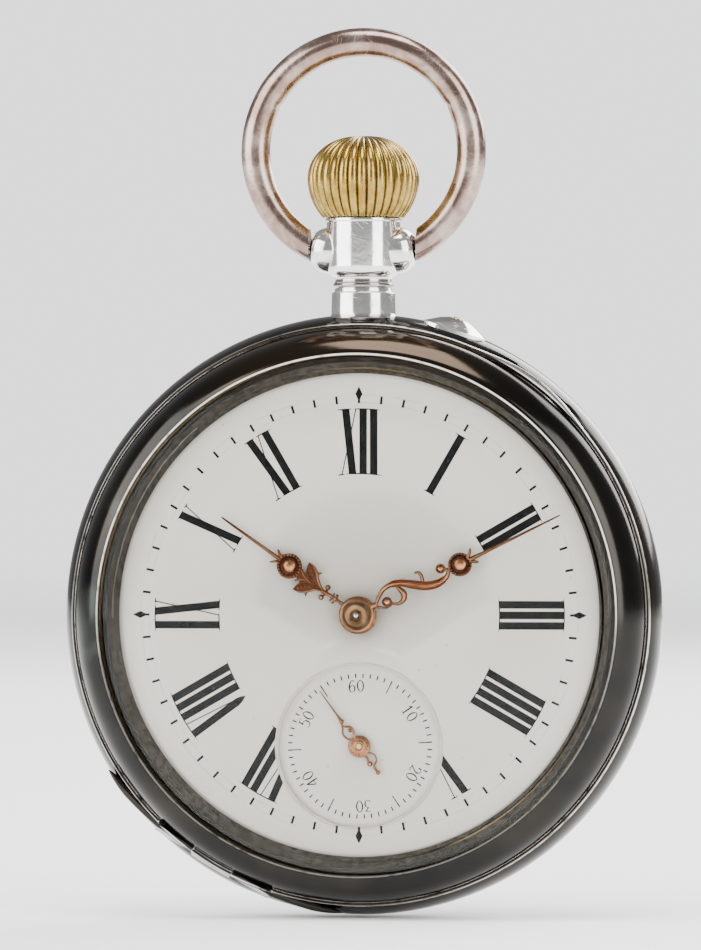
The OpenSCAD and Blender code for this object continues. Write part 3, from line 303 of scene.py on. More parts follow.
class Tree:
    """A tree of nodes, for a finish or for a shape."""

    def __init__(self, tree):
        self.tree = tree

    def add(self, kind, settings=None, values=(), out=0):
        """Adds a node: its settings first, then the values or links of its sockets."""
        node = self.tree.nodes.new(kind)
        for key, value in (settings or {}).items():
            setattr(node, key, value)
        for key, value in (values.items() if isinstance(values, dict) else enumerate(values)):
            self.plug(node.inputs[key], value)
        return Socket(self, node.outputs[out]) if node.outputs else None

    def plug(self, socket, value):
        if isinstance(value, Socket):
            self.tree.links.new(value.socket, socket)
        elif socket.type == "RGBA" and len(value) == 3:
            socket.default_value = (*value, 1)
        else:
            socket.default_value = value


class Finish(Tree):
    """A finish of the watch, measured in mm on the standing watch: x right, y from the dial to the back, z up."""

    def __init__(self, name):
        self.material = bpy.data.materials.new(name)
        self.material.use_nodes = True
        super().__init__(self.material.node_tree)
        self.tree.nodes.clear()
        here = self.add("ShaderNodeTexCoord", out="Object")
        self.place = self.add("ShaderNodeVectorMath", {"operation": "SCALE"}, {"Vector": here, "Scale": 1 / MM})
        split = self.add("ShaderNodeSeparateXYZ", None, [self.place])
        self.x, self.y, self.z = (Socket(self, split.socket.node.outputs[i]) for i in range(3))

    def vector(self, x, y, z):
        return self.add("ShaderNodeCombineXYZ", None, [x, y, z])

    def from_axis(self, x=0.0, z=0.0):
        """The distance from an axis that is parallel to the hands' axis."""
        across, up = self.x - x, self.z - z
        return (across * across + up * up) ** 0.5

    def round_axis(self, x=0.0, z=0.0):
        """The direction round that axis, from -0.5 to 0.5 of a turn, clockwise from twelve."""
        return self.add("ShaderNodeMath", {"operation": "ARCTAN2"}, [self.x - x, self.z - z]) / (2 * math.pi)

    def noise(self, scale, detail=3.0, rough=0.5, where=None, warp=0.0):
        """Smooth random values, with scale in lumps per mm."""
        return self.add("ShaderNodeTexNoise", None, {
            "Vector": where or self.place, "Scale": scale, "Detail": detail, "Roughness": rough, "Distortion": warp})

    def cells(self, scale, where=None):
        """The distance to the nearest of many scattered points, with scale in points per mm."""
        return self.add("ShaderNodeTexVoronoi", {"feature": "F1"},
                        {"Vector": where or self.place, "Scale": scale}, out="Distance")

    def mix(self, share, low, high):
        """A colour between two, by share."""
        return self.add("ShaderNodeMix", {"data_type": "RGBA"}, {0: share, 6: low, 7: high}, out=2)

    def bump(self, height, depth):
        """The surface raised by height times depth, in mm."""
        return self.add("ShaderNodeBump", None, {"Height": height, "Distance": depth * MM, "Strength": 1.0})

    def surface(self, **sockets):
        values = {key.replace("_", " "): value for key, value in sockets.items()}
        return self.add("ShaderNodeBsdfPrincipled", None, values)

    def done(self, shader):
        self.add("ShaderNodeOutputMaterial", None, [shader])
        return self.material

    def metal(self, colour, rough, grain):
        """Ends the finish as bare metal."""
        return self.done(self.surface(Base_Color=colour, Metallic=1.0, Roughness=rough, Normal=grain))


def turned_scratches(f, seed=0.0, x=0.0, z=0.0):
    """Fine lines round an axis, as a polishing wheel leaves them."""
    ring = f.vector(f.from_axis(x, z) * 9 + seed, f.round_axis(x, z) * 5, f.y * 9)
    return f.noise(2.2, 4, 0.7, ring)


def stray_scratches(f, seed, share=0.12, scale=0.22):
    """A few fine lines in all directions, 1 on a line."""
    lines = None
    for i, (a, b) in enumerate(((0.3, 1.0), (1.0, -0.25), (0.7, 0.75))):
        across = f.x * a + f.z * b + f.y * 0.4 + seed + i * 7
        along = f.x * b - f.z * a
        stretched = f.vector(across * 7, along * scale, i * 3.0)
        line = f.noise(1.3, 2, 0.5, stretched).rise(0.70 - share * 0.1, 0.74)
        lines = line if lines is None else lines.most(line)
    return lines


# ---------------------------------------------------------------- finishes

def tarnished_silver(name, worn):
    """Polished silver gone dark. worn(finish) says where the edges are rubbed bright, from 0 to 1."""
    f = Finish(name)
    cloud = f.noise(0.07, 3, 0.5, warp=0.4)
    dark = f.mix(cloud.rise(0.3, 0.7), (0.020, 0.021, 0.020), (0.042, 0.037, 0.031))
    lines = turned_scratches(f)
    stray = stray_scratches(f, 3.0)
    rubbed = worn(f) * f.noise(0.9, 3, 0.6).rise(0.25, 0.55)
    colour = f.mix(rubbed, dark, (0.62, 0.59, 0.55))
    rough = 0.12 + lines.rise(0.45, 0.75) * 0.07 + cloud.rise(0.5, 0.8) * 0.06
    grain = f.bump(lines + stray * 0.35, 0.0012)
    return f.metal(colour, rough, grain)


def ring_wear(*rings):
    """Wear along circles round the hands' axis, each (radius, half width)."""
    def worn(f):
        r, mask = f.from_axis(), None
        for radius, half in rings:
            one = r.near(radius, half)
            mask = one if mask is None else mask.most(one)
        return mask
    return worn


def bezel_silver():
    """The bezel's dark silver: bright on its lip and its bead, with a painted highlight on its upper left, and dark
    brown on the wall under the crystal that is partly dirt and partly painted shade.
    """
    f = Finish("bezel_silver")
    r, turn = f.from_axis(), f.round_axis()
    cloud = f.noise(0.08, 3, 0.5, warp=0.4)
    dark = f.mix(cloud.rise(0.3, 0.7), (0.016, 0.017, 0.017), (0.034, 0.031, 0.027))
    dark = f.mix(turn.near(0.0, 0.14) * 0.5, dark, (0.07, 0.045, 0.026))
    # Paler, rougher patches on the upper left: a painted highlight, not a change in the metal.
    pale = turn.near(-0.2, 0.14) * f.noise(0.16, 3, 0.5, warp=0.6).rise(0.42, 0.62)
    dark = f.mix(pale * 0.5, dark, (0.065, 0.075, 0.066))
    lines = turned_scratches(f, 5)
    stray = stray_scratches(f, 9.0)
    edge = r.near(21.6, 0.1).most(r.near(23.84, 0.06) * 0.8).most(r.rise(24.06, 24.12) * 0.85)
    rubbed = edge * f.noise(0.8, 3, 0.6).rise(0.2, 0.5)
    metal = f.mix(rubbed, dark, (0.70, 0.67, 0.63))
    inside = r.rise(21.0, 20.9)
    # The wall under the crystal is painted dark brown: partly dirt, partly painted shade of the recess.
    grime = f.mix(f.noise(2.2, 5, 0.7).rise(0.35, 0.62), (0.020, 0.015, 0.010), (0.085, 0.072, 0.058))
    metal = f.mix(r.near(21.42, 0.12) * 0.85, metal, (0.09, 0.065, 0.03))
    colour = f.mix(inside, metal, grime)
    rough = 0.11 + lines.rise(0.45, 0.75) * 0.07 + pale * 0.12 + inside * 0.4
    grain = f.bump(lines + stray * 0.35 + inside * f.noise(5, 3) * 6, 0.0012)
    return f.done(f.surface(Base_Color=colour, Metallic=1 - inside * 0.7, Roughness=rough, Normal=grain))


def bright_silver():
    """Bright worn silver, dark where the parts meet."""
    f = Finish("pendant_silver")
    stain = f.noise(0.5, 4, 0.6)
    colour = f.mix(stain.rise(0.42, 0.68), (0.84, 0.83, 0.82), (0.62, 0.60, 0.58))
    groove = f.z.near(27.5, 0.55).most(f.z.near(24.6, 0.5) * 0.7).most(f.z.rise(32.95, 33.2) * 0.8)
    colour = f.mix(groove * 0.75, colour, (0.12, 0.10, 0.08))
    dents = f.noise(1.3, 3, 0.5)
    stray = stray_scratches(f, 1.0)
    grain = f.bump(dents * 5 + stray, 0.002)
    rough = 0.12 + stain.rise(0.5, 0.7) * 0.12 + stray * 0.1
    return f.metal(colour, rough, grain)


def rose_silver():
    """The bow's worn silver: a rose tone with pale rubbed patches."""
    f = Finish("bow_silver")
    cloud = f.noise(0.45, 4, 0.6, warp=0.4)
    colour = f.mix(cloud.rise(0.38, 0.66), (0.26, 0.175, 0.145), (0.44, 0.34, 0.295))
    spots = f.noise(3.2, 2, 0.5).rise(0.66, 0.74)
    colour = f.mix(spots * 0.5, colour, (0.12, 0.08, 0.06))
    stray = stray_scratches(f, 5.0)
    grain = f.bump(f.noise(1.8, 3, 0.5) * 4 + stray, 0.002)
    rough = 0.2 + cloud.rise(0.4, 0.7) * 0.12 + stray * 0.1
    return f.metal(colour, rough, grain)


def crown_brass():
    """The crown's brass: bright on the ribs, brown and green between them."""
    f = Finish("crown_brass")
    out = f.y + STEM_Z
    r = (f.x * f.x + out * out) ** 0.5
    up = f.z - CROWN_MIDDLE
    share = up.most(0.0) / CROWN_ABOVE - up.least(0.0) / CROWN_BELOW
    side = (1 - share * share).most(0.01) ** 0.5 * CROWN_REACH
    deep = ((side * 1.09 - r) / (side * 0.1)).rise(0.25, 0.85)
    cloud = f.noise(0.9, 4, 0.6)
    brass = f.mix(cloud.rise(0.35, 0.65), (0.27, 0.17, 0.035), (0.42, 0.29, 0.08))
    dirt = f.mix(f.noise(1.5, 3, 0.6).rise(0.45, 0.62), (0.045, 0.028, 0.010), (0.055, 0.085, 0.035))
    grime = (deep * 0.95).most(f.noise(0.8, 4, 0.65).rise(0.58, 0.76) * 0.6)
    colour = f.mix(grime, brass, dirt)
    verdigris = f.noise(2.6, 3, 0.6).rise(0.63, 0.7)
    colour = f.mix(verdigris * 0.5, colour, (0.16, 0.24, 0.15))
    grain = f.bump(f.noise(4.5, 3, 0.6), 0.01)
    rough = 0.24 + grime * 0.35
    return f.done(f.surface(Base_Color=colour, Metallic=1 - grime * 0.5, Roughness=rough, Normal=grain))


def enamel(name, tone):
    """Fired enamel under a clear coat, with fine specks."""
    f = Finish(name)
    cloud = f.noise(0.09, 3, 0.5)
    colour = f.mix(cloud.rise(0.3, 0.7), tone, tuple(c * 0.985 for c in tone))
    flat = f.vector(f.x, f.z, 0.5)
    speck = f.cells(0.55, flat).rise(0.09, 0.05)
    chosen = f.noise(0.31, 2, 0.5, flat).rise(0.48, 0.56)
    colour = f.mix(speck * chosen * 0.4, colour, (0.45, 0.36, 0.27))
    dust = f.cells(1.9, f.vector(f.x + 40, f.z, 2.5)).rise(0.07, 0.04)
    colour = f.mix(dust * 0.22, colour, (0.42, 0.38, 0.33))
    line = ((f.x + 13.2) * 0.80 + (f.z + 7.4) * 0.60 + f.noise(0.7, 3, 0.6, flat) * 0.9 - 0.45)
    crack = line.sum("ABSOLUTE", line).rise(0.05, 0.02) * f.x.near(-13.0, 2.2)
    colour = f.mix(crack * 0.25, colour, (0.50, 0.38, 0.27))
    ripple = f.bump(f.noise(0.22, 2, 0.4, flat), 0.012)
    return f.done(f.surface(Base_Color=colour, Roughness=0.22, Coat_Weight=0.5, Coat_Roughness=0.04, Normal=ripple))


def black_print():
    """Fired black print, a little grey where it is thin."""
    f = Finish("black_print")
    thin = f.noise(1.1, 4, 0.6)
    colour = f.mix(thin.rise(0.45, 0.75), (0.004, 0.004, 0.004), (0.014, 0.013, 0.012))
    pits = f.cells(1.6, f.vector(f.x, f.z, 0.3)).rise(0.09, 0.05) * f.noise(0.9, 2, 0.5).rise(0.55, 0.62)
    colour = f.mix(pits * 0.8, colour, (0.6, 0.58, 0.54))
    return f.done(f.surface(Base_Color=colour, Roughness=0.35, Specular_IOR_Level=0.12, Normal=f.bump(thin, 0.004)))


def faint_print(name, tone):
    """Thin brownish hairlines of the print."""
    f = Finish(name)
    fade = f.noise(0.6, 3, 0.6)
    colour = f.mix(fade.rise(0.35, 0.7), tone, tuple(min(1, c * 1.5 + 0.1) for c in tone))
    return f.done(f.surface(Base_Color=colour, Roughness=0.35))


def clear_glass():
    """The crystal: it mirrors as glass does and lets the light straight through."""
    f = Finish("crystal_glass")
    smear = f.noise(0.18, 3, 0.55, warp=0.5)
    rough = 0.02 + smear.rise(0.5, 0.8) * 0.03
    mirror = f.add("ShaderNodeBsdfGlossy", None, {"Color": (1, 1, 1, 1), "Roughness": rough})
    through = f.add("ShaderNodeBsdfTransparent", None, {"Color": (0.985, 0.99, 0.985, 1)})
    gloss = f.add("ShaderNodeFresnel", None, {"IOR": 1.45}) ** 1.5
    return f.done(f.add("ShaderNodeMixShader", None, [gloss, through, mirror]))


def bevel_glass():
    """The crystal's ground edge, which gathers the light."""
    f = Finish("crystal_edge")
    turn, r = f.round_axis(), f.from_axis()
    streak = f.noise(1.2, 4, 0.65, f.vector(f.x, f.z, r * 3))
    colour = f.mix(streak.rise(0.35, 0.65), (0.88, 0.87, 0.84), (0.70, 0.69, 0.64))
    colour = f.mix(turn.near(0.25, 0.1) * 0.5, colour, (0.80, 0.78, 0.66))
    body = f.surface(Base_Color=colour, Roughness=0.28, Coat_Weight=0.6, Coat_Roughness=0.06,
                     Normal=f.bump(streak, 0.01))
    through = f.add("ShaderNodeBsdfTransparent", None, {"Color": (0.97, 0.97, 0.95, 1)})
    cover = 0.42 + streak.rise(0.4, 0.7) * 0.3
    return f.done(f.add("ShaderNodeMixShader", None, [cover, through, body]))


def rose_gold(name, low, high):
    """Copper-rose gilt on the hands, bright on the relief and brown in its hollows. low and high are bench heights."""
    f = Finish(name)
    height = 0 - f.y
    raised = height.rise(low, high)
    cloud = f.noise(1.6, 4, 0.6)
    gilt = f.mix(cloud.rise(0.35, 0.65), (0.46, 0.18, 0.075), (0.64, 0.30, 0.15))
    colour = f.mix(raised, (0.07, 0.022, 0.010), gilt)
    tarnish = f.noise(2.4, 3, 0.6).rise(0.6, 0.74)
    colour = f.mix(tarnish * 0.5, colour, (0.26, 0.11, 0.06))
    grain = f.bump(f.noise(7, 4, 0.7), 0.012)
    rough = 0.42 - raised * 0.16 + tarnish * 0.15
    return f.metal(colour, rough, grain)


def hub_brass():
    """The brown brass cap over the hands' hub."""
    f = Finish("hub_brass")
    r = f.from_axis()
    cloud = f.noise(1.2, 4, 0.6)
    colour = f.mix(cloud.rise(0.38, 0.64), (0.17, 0.085, 0.032), (0.36, 0.20, 0.09))
    steps = r.near(1.0, 0.16).most(r.near(0.5, 0.1))
    colour = f.mix(steps * 0.6, colour, (0.10, 0.05, 0.025))
    grain = f.bump(turned_scratches(f, 2) + f.noise(3, 3, 0.6) * 2, 0.004)
    return f.metal(colour, 0.3 + cloud * 0.15, grain)


def plain_steel(name, tone=(0.55, 0.56, 0.58), rough=0.22):
    """Polished steel with fine stray lines."""
    f = Finish(name)
    cloud = f.noise(0.8, 3, 0.5)
    stray = stray_scratches(f, 2.0)
    colour = f.mix(cloud.rise(0.3, 0.7), tone, tuple(c * 0.8 for c in tone))
    grain = f.bump(f.noise(6, 3, 0.6) * 0.6 + stray, 0.0016)
    return f.metal(colour, rough + stray * 0.12, grain)


def snailed_steel(name, x, z):
    """Steel with a fine double swirl round a wheel's centre."""
    f = Finish(name)
    r, turn = f.from_axis(x, z), f.round_axis(x, z)
    swirl = (turn * 26 + r * 0.75).wave()
    fine = f.noise(2.0, 3, 0.7, f.vector(r * 14, turn * 3, 0))
    colour = f.mix(swirl.rise(-1, 1) * 0.6 + fine * 0.2, (0.36, 0.37, 0.39), (0.70, 0.71, 0.73))
    grain = f.bump(swirl * 0.5 + fine * 1.4, 0.005)
    return f.metal(colour, 0.24 + fine * 0.12, grain)


def frosted_gilt():
    """Gilt brass plates with a fine frosted grain."""
    f = Finish("frosted_gilt")
    cloud = f.noise(0.25, 3, 0.5)
    grains = f.cells(11)
    colour = f.mix(cloud.rise(0.3, 0.7), (0.88, 0.66, 0.33), (0.80, 0.58, 0.28))
    stain = f.noise(0.7, 4, 0.65, warp=0.5).rise(0.62, 0.74)
    colour = f.mix(stain * 0.35, colour, (0.50, 0.30, 0.13))
    grain = f.bump(grains + f.noise(16, 2, 0.5) * 0.6, 0.014)
    return f.metal(colour, 0.36 + stain * 0.12, grain)


def wheel_brass(name, x=0.0, z=0.0):
    """Satin brass brushed round a wheel's centre."""
    f = Finish(name)
    r, turn = f.from_axis(x, z), f.round_axis(x, z)
    brushed = f.noise(2.2, 4, 0.7, f.vector(r * 11, turn * 4, 0))
    colour = f.mix(brushed, (0.84, 0.65, 0.31), (0.70, 0.51, 0.22))
    return f.metal(colour, 0.26 + brushed * 0.14, f.bump(brushed, 0.006))


def cuvette_metal():
    """The inner cover: polished brass, spun and lightly scratched."""
    f = Finish("cuvette_metal")
    lines = turned_scratches(f, 11)
    stray = stray_scratches(f, 6.0, 0.3)
    cloud = f.noise(0.16, 4, 0.6)
    colour = f.mix(cloud.rise(0.35, 0.7), (0.74, 0.58, 0.33), (0.60, 0.42, 0.20))
    rough = 0.16 + lines.rise(0.4, 0.8) * 0.12 + cloud.rise(0.5, 0.75) * 0.12
    return f.metal(colour, rough, f.bump(lines + stray, 0.003))


def ruby():
    """Red stone of the jewels."""
    f = Finish("ruby_stone")
    cloud = f.noise(2.0, 2, 0.5)
    colour = f.mix(cloud, (0.42, 0.01, 0.05), (0.62, 0.04, 0.12))
    return f.done(f.surface(Base_Color=colour, Roughness=0.06, Coat_Weight=0.8, Coat_Roughness=0.02,
                            Transmission_Weight=0.35, IOR=1.76))


def floor_paper():
    """The pale floor."""
    f = Finish("floor_paper")
    grain = f.noise(0.35, 3, 0.5)
    colour = f.mix(grain, (0.84, 0.84, 0.835), (0.82, 0.82, 0.815))
    paper = f.surface(Base_Color=colour, Roughness=0.7)
    air = f.add("ShaderNodeEmission", None, [(*AIR_TONE, 1), BACKDROP])
    far = ((f.x * f.x + f.y * f.y) ** 0.5).rise(500, 2400)
    return f.done(f.add("ShaderNodeMixShader", None, [far, paper, air]))


# ---------------------------------------------------------------- repeated shapes

def shape_tree(name, inputs):
    """A new tree for a shape with its named inputs. Gives the tree, its inputs as sockets and their identifiers."""
    group = bpy.data.node_groups.new(name, "GeometryNodeTree")
    identifiers = {}
    for label, kind in inputs:
        identifiers[label] = group.interface.new_socket(label, in_out="INPUT", socket_type=kind).identifier
    group.interface.new_socket("Geometry", in_out="OUTPUT", socket_type="NodeSocketGeometry")
    tree = Tree(group)
    start = group.nodes.new("NodeGroupInput")
    return tree, {label: Socket(tree, start.outputs[label]) for label, _ in inputs}, identifiers


def end_tree(tree, geometry, finish):
    """Ends a shape's tree: its copies made real, its finish set."""
    real = tree.add("GeometryNodeRealizeInstances", None, [geometry])
    coloured = tree.add("GeometryNodeSetMaterial", None, {"Geometry": real, "Material": finish})
    last = tree.tree.nodes.new("NodeGroupOutput")
    tree.tree.links.new(coloured.socket, last.inputs[0])


def grown(name, tree, identifiers, values, axes=None, shift=(0, 0, 0)):
    """The plain mesh that a shape's tree gives with these values, set on the standing watch."""
    holder = bpy.data.objects.new(name, bpy.data.meshes.new(name))
    bpy.context.scene.collection.objects.link(holder)
    modifier = holder.modifiers.new("shape", "NODES")
    modifier.node_group = tree.tree
    for label, value in values.items():
        modifier[identifiers[label]] = value
    bpy.context.view_layer.update()
    mesh = bpy.data.meshes.new_from_object(holder.evaluated_get(bpy.context.evaluated_depsgraph_get()))
    holder.modifiers.remove(modifier)
    bpy.data.objects.remove(holder)
    n = len(mesh.vertices)
    points = np.zeros(n * 3)
    mesh.vertices.foreach_get("co", points)
    points = points.reshape(-1, 3) / MM
    if axes is not None:
        points = points @ np.asarray(axes, float)
    mesh.vertices.foreach_set("co", upright(points + np.asarray(shift, float)).ravel())
    work = bmesh.new()
    work.from_mesh(mesh)
    bmesh.ops.remove_doubles(work, verts=work.verts, dist=1e-8)
    bmesh.ops.recalc_face_normals(work, faces=work.faces)
    work.to_mesh(mesh)
    work.free()
    return mesh


def ring_of_marks():
    """Upright bars round a circle, such as a minute track: their count, circle, length, width and thickness."""
    tree, given, names = shape_tree("ring of marks", [
        ("Count", "NodeSocketInt"), ("Radius", "NodeSocketFloat"), ("Length", "NodeSocketFloat"),
        ("Width", "NodeSocketFloat"), ("Thickness", "NodeSocketFloat"), ("Finish", "NodeSocketMaterial")])
    circle = tree.add("GeometryNodeMeshCircle", None, {"Vertices": given["Count"], "Radius": given["Radius"]})
    size = tree.add("ShaderNodeCombineXYZ", None, [given["Length"], given["Width"], given["Thickness"]])
    bar = tree.add("GeometryNodeMeshCube", None, {"Size": size})
    index = tree.add("GeometryNodeInputIndex")
    turn = tree.add("ShaderNodeCombineXYZ", None, [0.0, 0.0, index * (2 * math.pi) / given["Count"]])
    copies = tree.add("GeometryNodeInstanceOnPoints", None, {"Points": circle, "Instance": bar, "Rotation": turn})
    end_tree(tree, copies, given["Finish"])
    return tree, names


def ring_of_beads():
    """Round beads on a circle, as on the bosses of the hands: their count, circle and size."""
    tree, given, names = shape_tree("ring of beads", [
        ("Count", "NodeSocketInt"), ("Radius", "NodeSocketFloat"), ("Bead", "NodeSocketFloat"),
        ("Finish", "NodeSocketMaterial")])
    circle = tree.add("GeometryNodeMeshCircle", None, {"Vertices": given["Count"], "Radius": given["Radius"]})
    bead = tree.add("GeometryNodeMeshIcoSphere", None, {"Radius": given["Bead"], "Subdivisions": 3})
    copies = tree.add("GeometryNodeInstanceOnPoints", None, {"Points": circle, "Instance": bead})
    end_tree(tree, copies, given["Finish"])
    return tree, names


def ring_of_ribs():
    """Round ribs that follow a bulging side from its foot to its top, as on the crown."""
    tree, given, names = shape_tree("ring of ribs", [
        ("Count", "NodeSocketInt"), ("Reach", "NodeSocketFloat"), ("Above", "NodeSocketFloat"),
        ("Below", "NodeSocketFloat"), ("Start", "NodeSocketFloat"), ("Sweep", "NodeSocketFloat"),
        ("Fullness", "NodeSocketFloat"), ("Finish", "NodeSocketMaterial")])
    side = tree.add("GeometryNodeCurveArc", {"mode": "RADIUS"}, {
        "Resolution": 44, "Radius": 1.0, "Start Angle": given["Start"], "Sweep Angle": given["Sweep"]})
    split = tree.add("ShaderNodeSeparateXYZ", None, [tree.add("GeometryNodeInputPosition")])
    out = split * given["Reach"]
    height = Socket(tree, split.socket.node.outputs[1])
    up = height.most(0.0) * given["Above"] + height.least(0.0) * given["Below"]
    stood = tree.add("GeometryNodeSetPosition", None, {
        "Geometry": side, "Position": tree.add("ShaderNodeCombineXYZ", None, [out, 0.0, up])})
    from_axis = tree.add("ShaderNodeSeparateXYZ", None, [tree.add("GeometryNodeInputPosition")])
    sized = tree.add("GeometryNodeSetCurveRadius", None, {"Curve": stood, "Radius": from_axis})
    section = tree.add("GeometryNodeCurvePrimitiveCircle", {"mode": "RADIUS"}, {
        "Resolution": 12, "Radius": given["Fullness"] * math.pi / given["Count"]})
    values = {"Curve": sized, "Profile Curve": section, "Fill Caps": True,
              "Scale": tree.add("GeometryNodeInputRadius")}
    rib = tree.add("GeometryNodeCurveToMesh", None, values)
    line = tree.add("GeometryNodeMeshLine", None, {"Count": given["Count"], "Offset": (0, 0, 0)})
    turn = tree.add("ShaderNodeCombineXYZ", None, [
        0.0, 0.0, tree.add("GeometryNodeInputIndex") * (2 * math.pi) / given["Count"]])
    copies = tree.add("GeometryNodeInstanceOnPoints", None, {"Points": line, "Instance": rib, "Rotation": turn})
    end_tree(tree, copies, given["Finish"])
    return tree, names


def joined_mesh(name, meshes):
    """Several plain meshes as one."""
    work = bmesh.new()
    for mesh in meshes:
        work.from_mesh(mesh)
    made = bpy.data.meshes.new(name)
    work.to_mesh(made)
    work.free()
    return made


# ---------------------------------------------------------------- case

def band_side(proud, steps):
    """The bulging side of the band, standing proud of it by some mm."""
    bulge = (BAND_HALF ** 2 + BAND_BULGE ** 2) / (2 * BAND_BULGE)
    half = math.degrees(math.asin(BAND_HALF / bulge))
    return arc((CASE_R - bulge, STEM_Z), bulge + proud, -half, half, steps)


def band_outline():
    """The band's section: its side, the spigots that the lids close on and the ledge that the movement sits on."""
    inner = SPIGOT_R - 0.4
    return ([(BORE_R, SEAM_BACK), (inner, SEAM_BACK), (inner, 3.85), (inner + 0.04, 3.83),
             (SPIGOT_R - 0.04, 3.83), (SPIGOT_R, 3.87), (SPIGOT_R, SEAM_BACK)]
            + band_side(0, 22)
            + [(SPIGOT_R, SEAM_FRONT), (SPIGOT_R, 9.93), (SPIGOT_R - 0.04, 9.97), (inner + 0.04, 9.97),
               (inner, 9.93), (inner, SEAM_FRONT), (BORE_R, SEAM_FRONT), (BORE_R, 7.6), (21.0, 7.6),
               (21.0, 7.0), (BORE_R, 7.0)])


def clock_of(degrees):
    """The clock direction of an angle that a turned shape uses."""
    return (90 - degrees) % 360


def swell(degrees, reach=17.0):
    """How far into the thumb lip a direction lies, from 0 outside it to 1 at its middle."""
    off = abs((clock_of(degrees) - LIP_CLOCK + 180) % 360 - 180)
    return 0.5 + 0.5 * math.cos(math.pi * min(off / reach, 1))


def hinge_form():
    """The outline to which the knuckles of both hinges are filed, a little proud of the band."""
    reach = EDGE_R + 0.1
    return turned([(0, 3.2), (reach, 3.2)] + band_side(0.1, 16) + [(reach, 10.6), (0, 10.6)], 288)


def make_band(finish):
    """The case's middle: the band, cut for the hinges and the neck, its knuckles and its rib."""
    def nail_gap(r, z, degrees):
        if z > SEAM_FRONT - 0.5 and r > EDGE_R - 0.3:
            z -= 0.3 * swell(degrees, 15)
        return r, z

    band = piece("case_band", turned(band_outline(), 288, nail_gap), finish, "case",
                 ["case_middle"], crease=40)
    gaps = ((SEAM_BACK, INNER_GAP), (SEAM_FRONT, KNUCKLE_END))
    for seam, half in gaps:
        carve(band, tangent_rod(KNUCKLE_R + KNUCKLE_PLAY, -half, half, seam, 0.01))
    neck = turned(softened([(0, 19, 0), (2.27, 19, 0), (2.27, 26.5, 0), (0, 26.5, 0)]), 48)
    carve(band, along_stem(neck))
    smoothed(band.data, 40)
    knuckles = joined(*(tangent_rod(KNUCKLE_R, a, b, seam) for seam, low in gaps
                        for a, b in ((low, PIN_END), (-PIN_END, -low))))
    rods = piece("band_knuckles", knuckles, finish, "case")
    carve(rods, hinge_form(), "INTERSECT")
    make_hinge_rib(finish)


def make_hinge_rib(finish):
    """The thin rib over the front hinge, which tapers into the band at both ends."""
    half, mid, end = math.radians(27.5), CASE_R - 1, CASE_R - 0.2
    shift = (end * end - mid * mid) / (2 * (mid - end * math.cos(half)))
    sweep = math.asin(end * math.sin(half) / (mid + shift))
    out, side = clock(1, HINGE_CLOCK), clock(1, HINGE_CLOCK + 90)
    rows = []
    for i in range(97):
        t = i / 96 * 2 - 1
        a = sweep * t
        thick = 0.03 + 0.42 * math.sin(math.pi / 2 * min(1, (1 - abs(t)) / 0.24)) ** 0.8
        u, v = -shift + (mid + shift) * math.cos(a), (mid + shift) * math.sin(a)
        rows.append([(u * out[0] + v * side[0] + thick * math.cos(b) * out[0],
                      u * out[1] + v * side[1] + thick * math.cos(b) * out[1],
                      SEAM_FRONT - 0.46 + thick * math.sin(b))
                     for b in np.linspace(0, 2 * math.pi, 16, endpoint=False)])
    piece("hinge_rib", lofted(rows), finish, "case")


BOX_FACES = [(3, 2, 1, 0), (4, 5, 6, 7), (0, 1, 5, 4), (1, 2, 6, 5), (2, 3, 7, 6), (3, 0, 4, 7)]


def lofted(rows, caps=True):
    """A skin over rows of the same number of points."""
    n, faces = len(rows[0]), []
    for i in range(len(rows) - 1):
        for j in range(n):
            k = (j + 1) % n
            faces.append((i * n + j, i * n + k, (i + 1) * n + k, (i + 1) * n + j))
    if caps:
        faces += [tuple(range(n)), tuple(range((len(rows) - 1) * n, len(rows) * n))]
    return np.array(rows, float).reshape(-1, 3), faces


def bulging(a, b, sag, steps):
    """A line from a to b that bulges by sag at its middle."""
    out = []
    for i in range(steps + 1):
        t = i / steps
        x, y = a[0] + (b[0] - a[0]) * t, a[1] + (b[1] - a[1]) * t
        n = math.hypot(b[0] - a[0], b[1] - a[1])
        d = 4 * sag * t * (1 - t)
        out.append((x + d * (a[1] - b[1]) / n, y - d * (a[0] - b[0]) / n))
    return out


def hang_lid(lid, name, body, seam, finish):
    """Cuts the case's knuckles out of a lid and gives the lid its own knuckle between them."""
    for a, b in ((-5.6, -1.9), (1.9, 5.6)):
        carve(lid, tangent_rod(KNUCKLE_R + KNUCKLE_PLAY, a, b, seam, 0.01))
    smoothed(lid.data, 38)
    rod = piece(name, tangent_rod(KNUCKLE_R - 0.005, -1.86, 1.86, seam), finish, body)
    carve(rod, hinge_form(), "INTERSECT")


def make_bezel(finish):
    """The bezel: a bead at its foot, a bulging slope, a narrow lip and the seat of the crystal."""
    slope = bulging((21.93, 12.58), (23.78, 10.12), 0.28, 22)
    bead = arc((23.99, 9.8), 0.16, -80, 150, 12)
    outline = ([(23.72, 9.62), (23.95, 9.62)] + bead + [(23.83, 10.0)] + slope[::-1]
               + softened([(21.93, 12.58, 0), (21.72, 12.66, 0.05), (21.5, 12.62, 0.05), (21.44, 12.42, 0)])[1:]
               + [(21.48, 12.3), (21.48, 11.37), (20.85, 11.37), (20.02, 10.44), (20.1, 10.24), (22.9, 10.22),
                  (23.56, 10.22), (23.72, 10.02)])

    def lip(r, z, degrees):
        if z < 10.02 and r > 23.8:
            s = swell(degrees)
            r += LIP_REACH * s * min(1, (r - 23.8) / 0.3)
            z += 0.06 * s
        return r, z

    bezel = piece("bezel_ring", turned(outline, 360, lip), finish, "bezel", ["bezel"], crease=38)
    hang_lid(bezel, "bezel_knuckle", "bezel", SEAM_FRONT, finish)


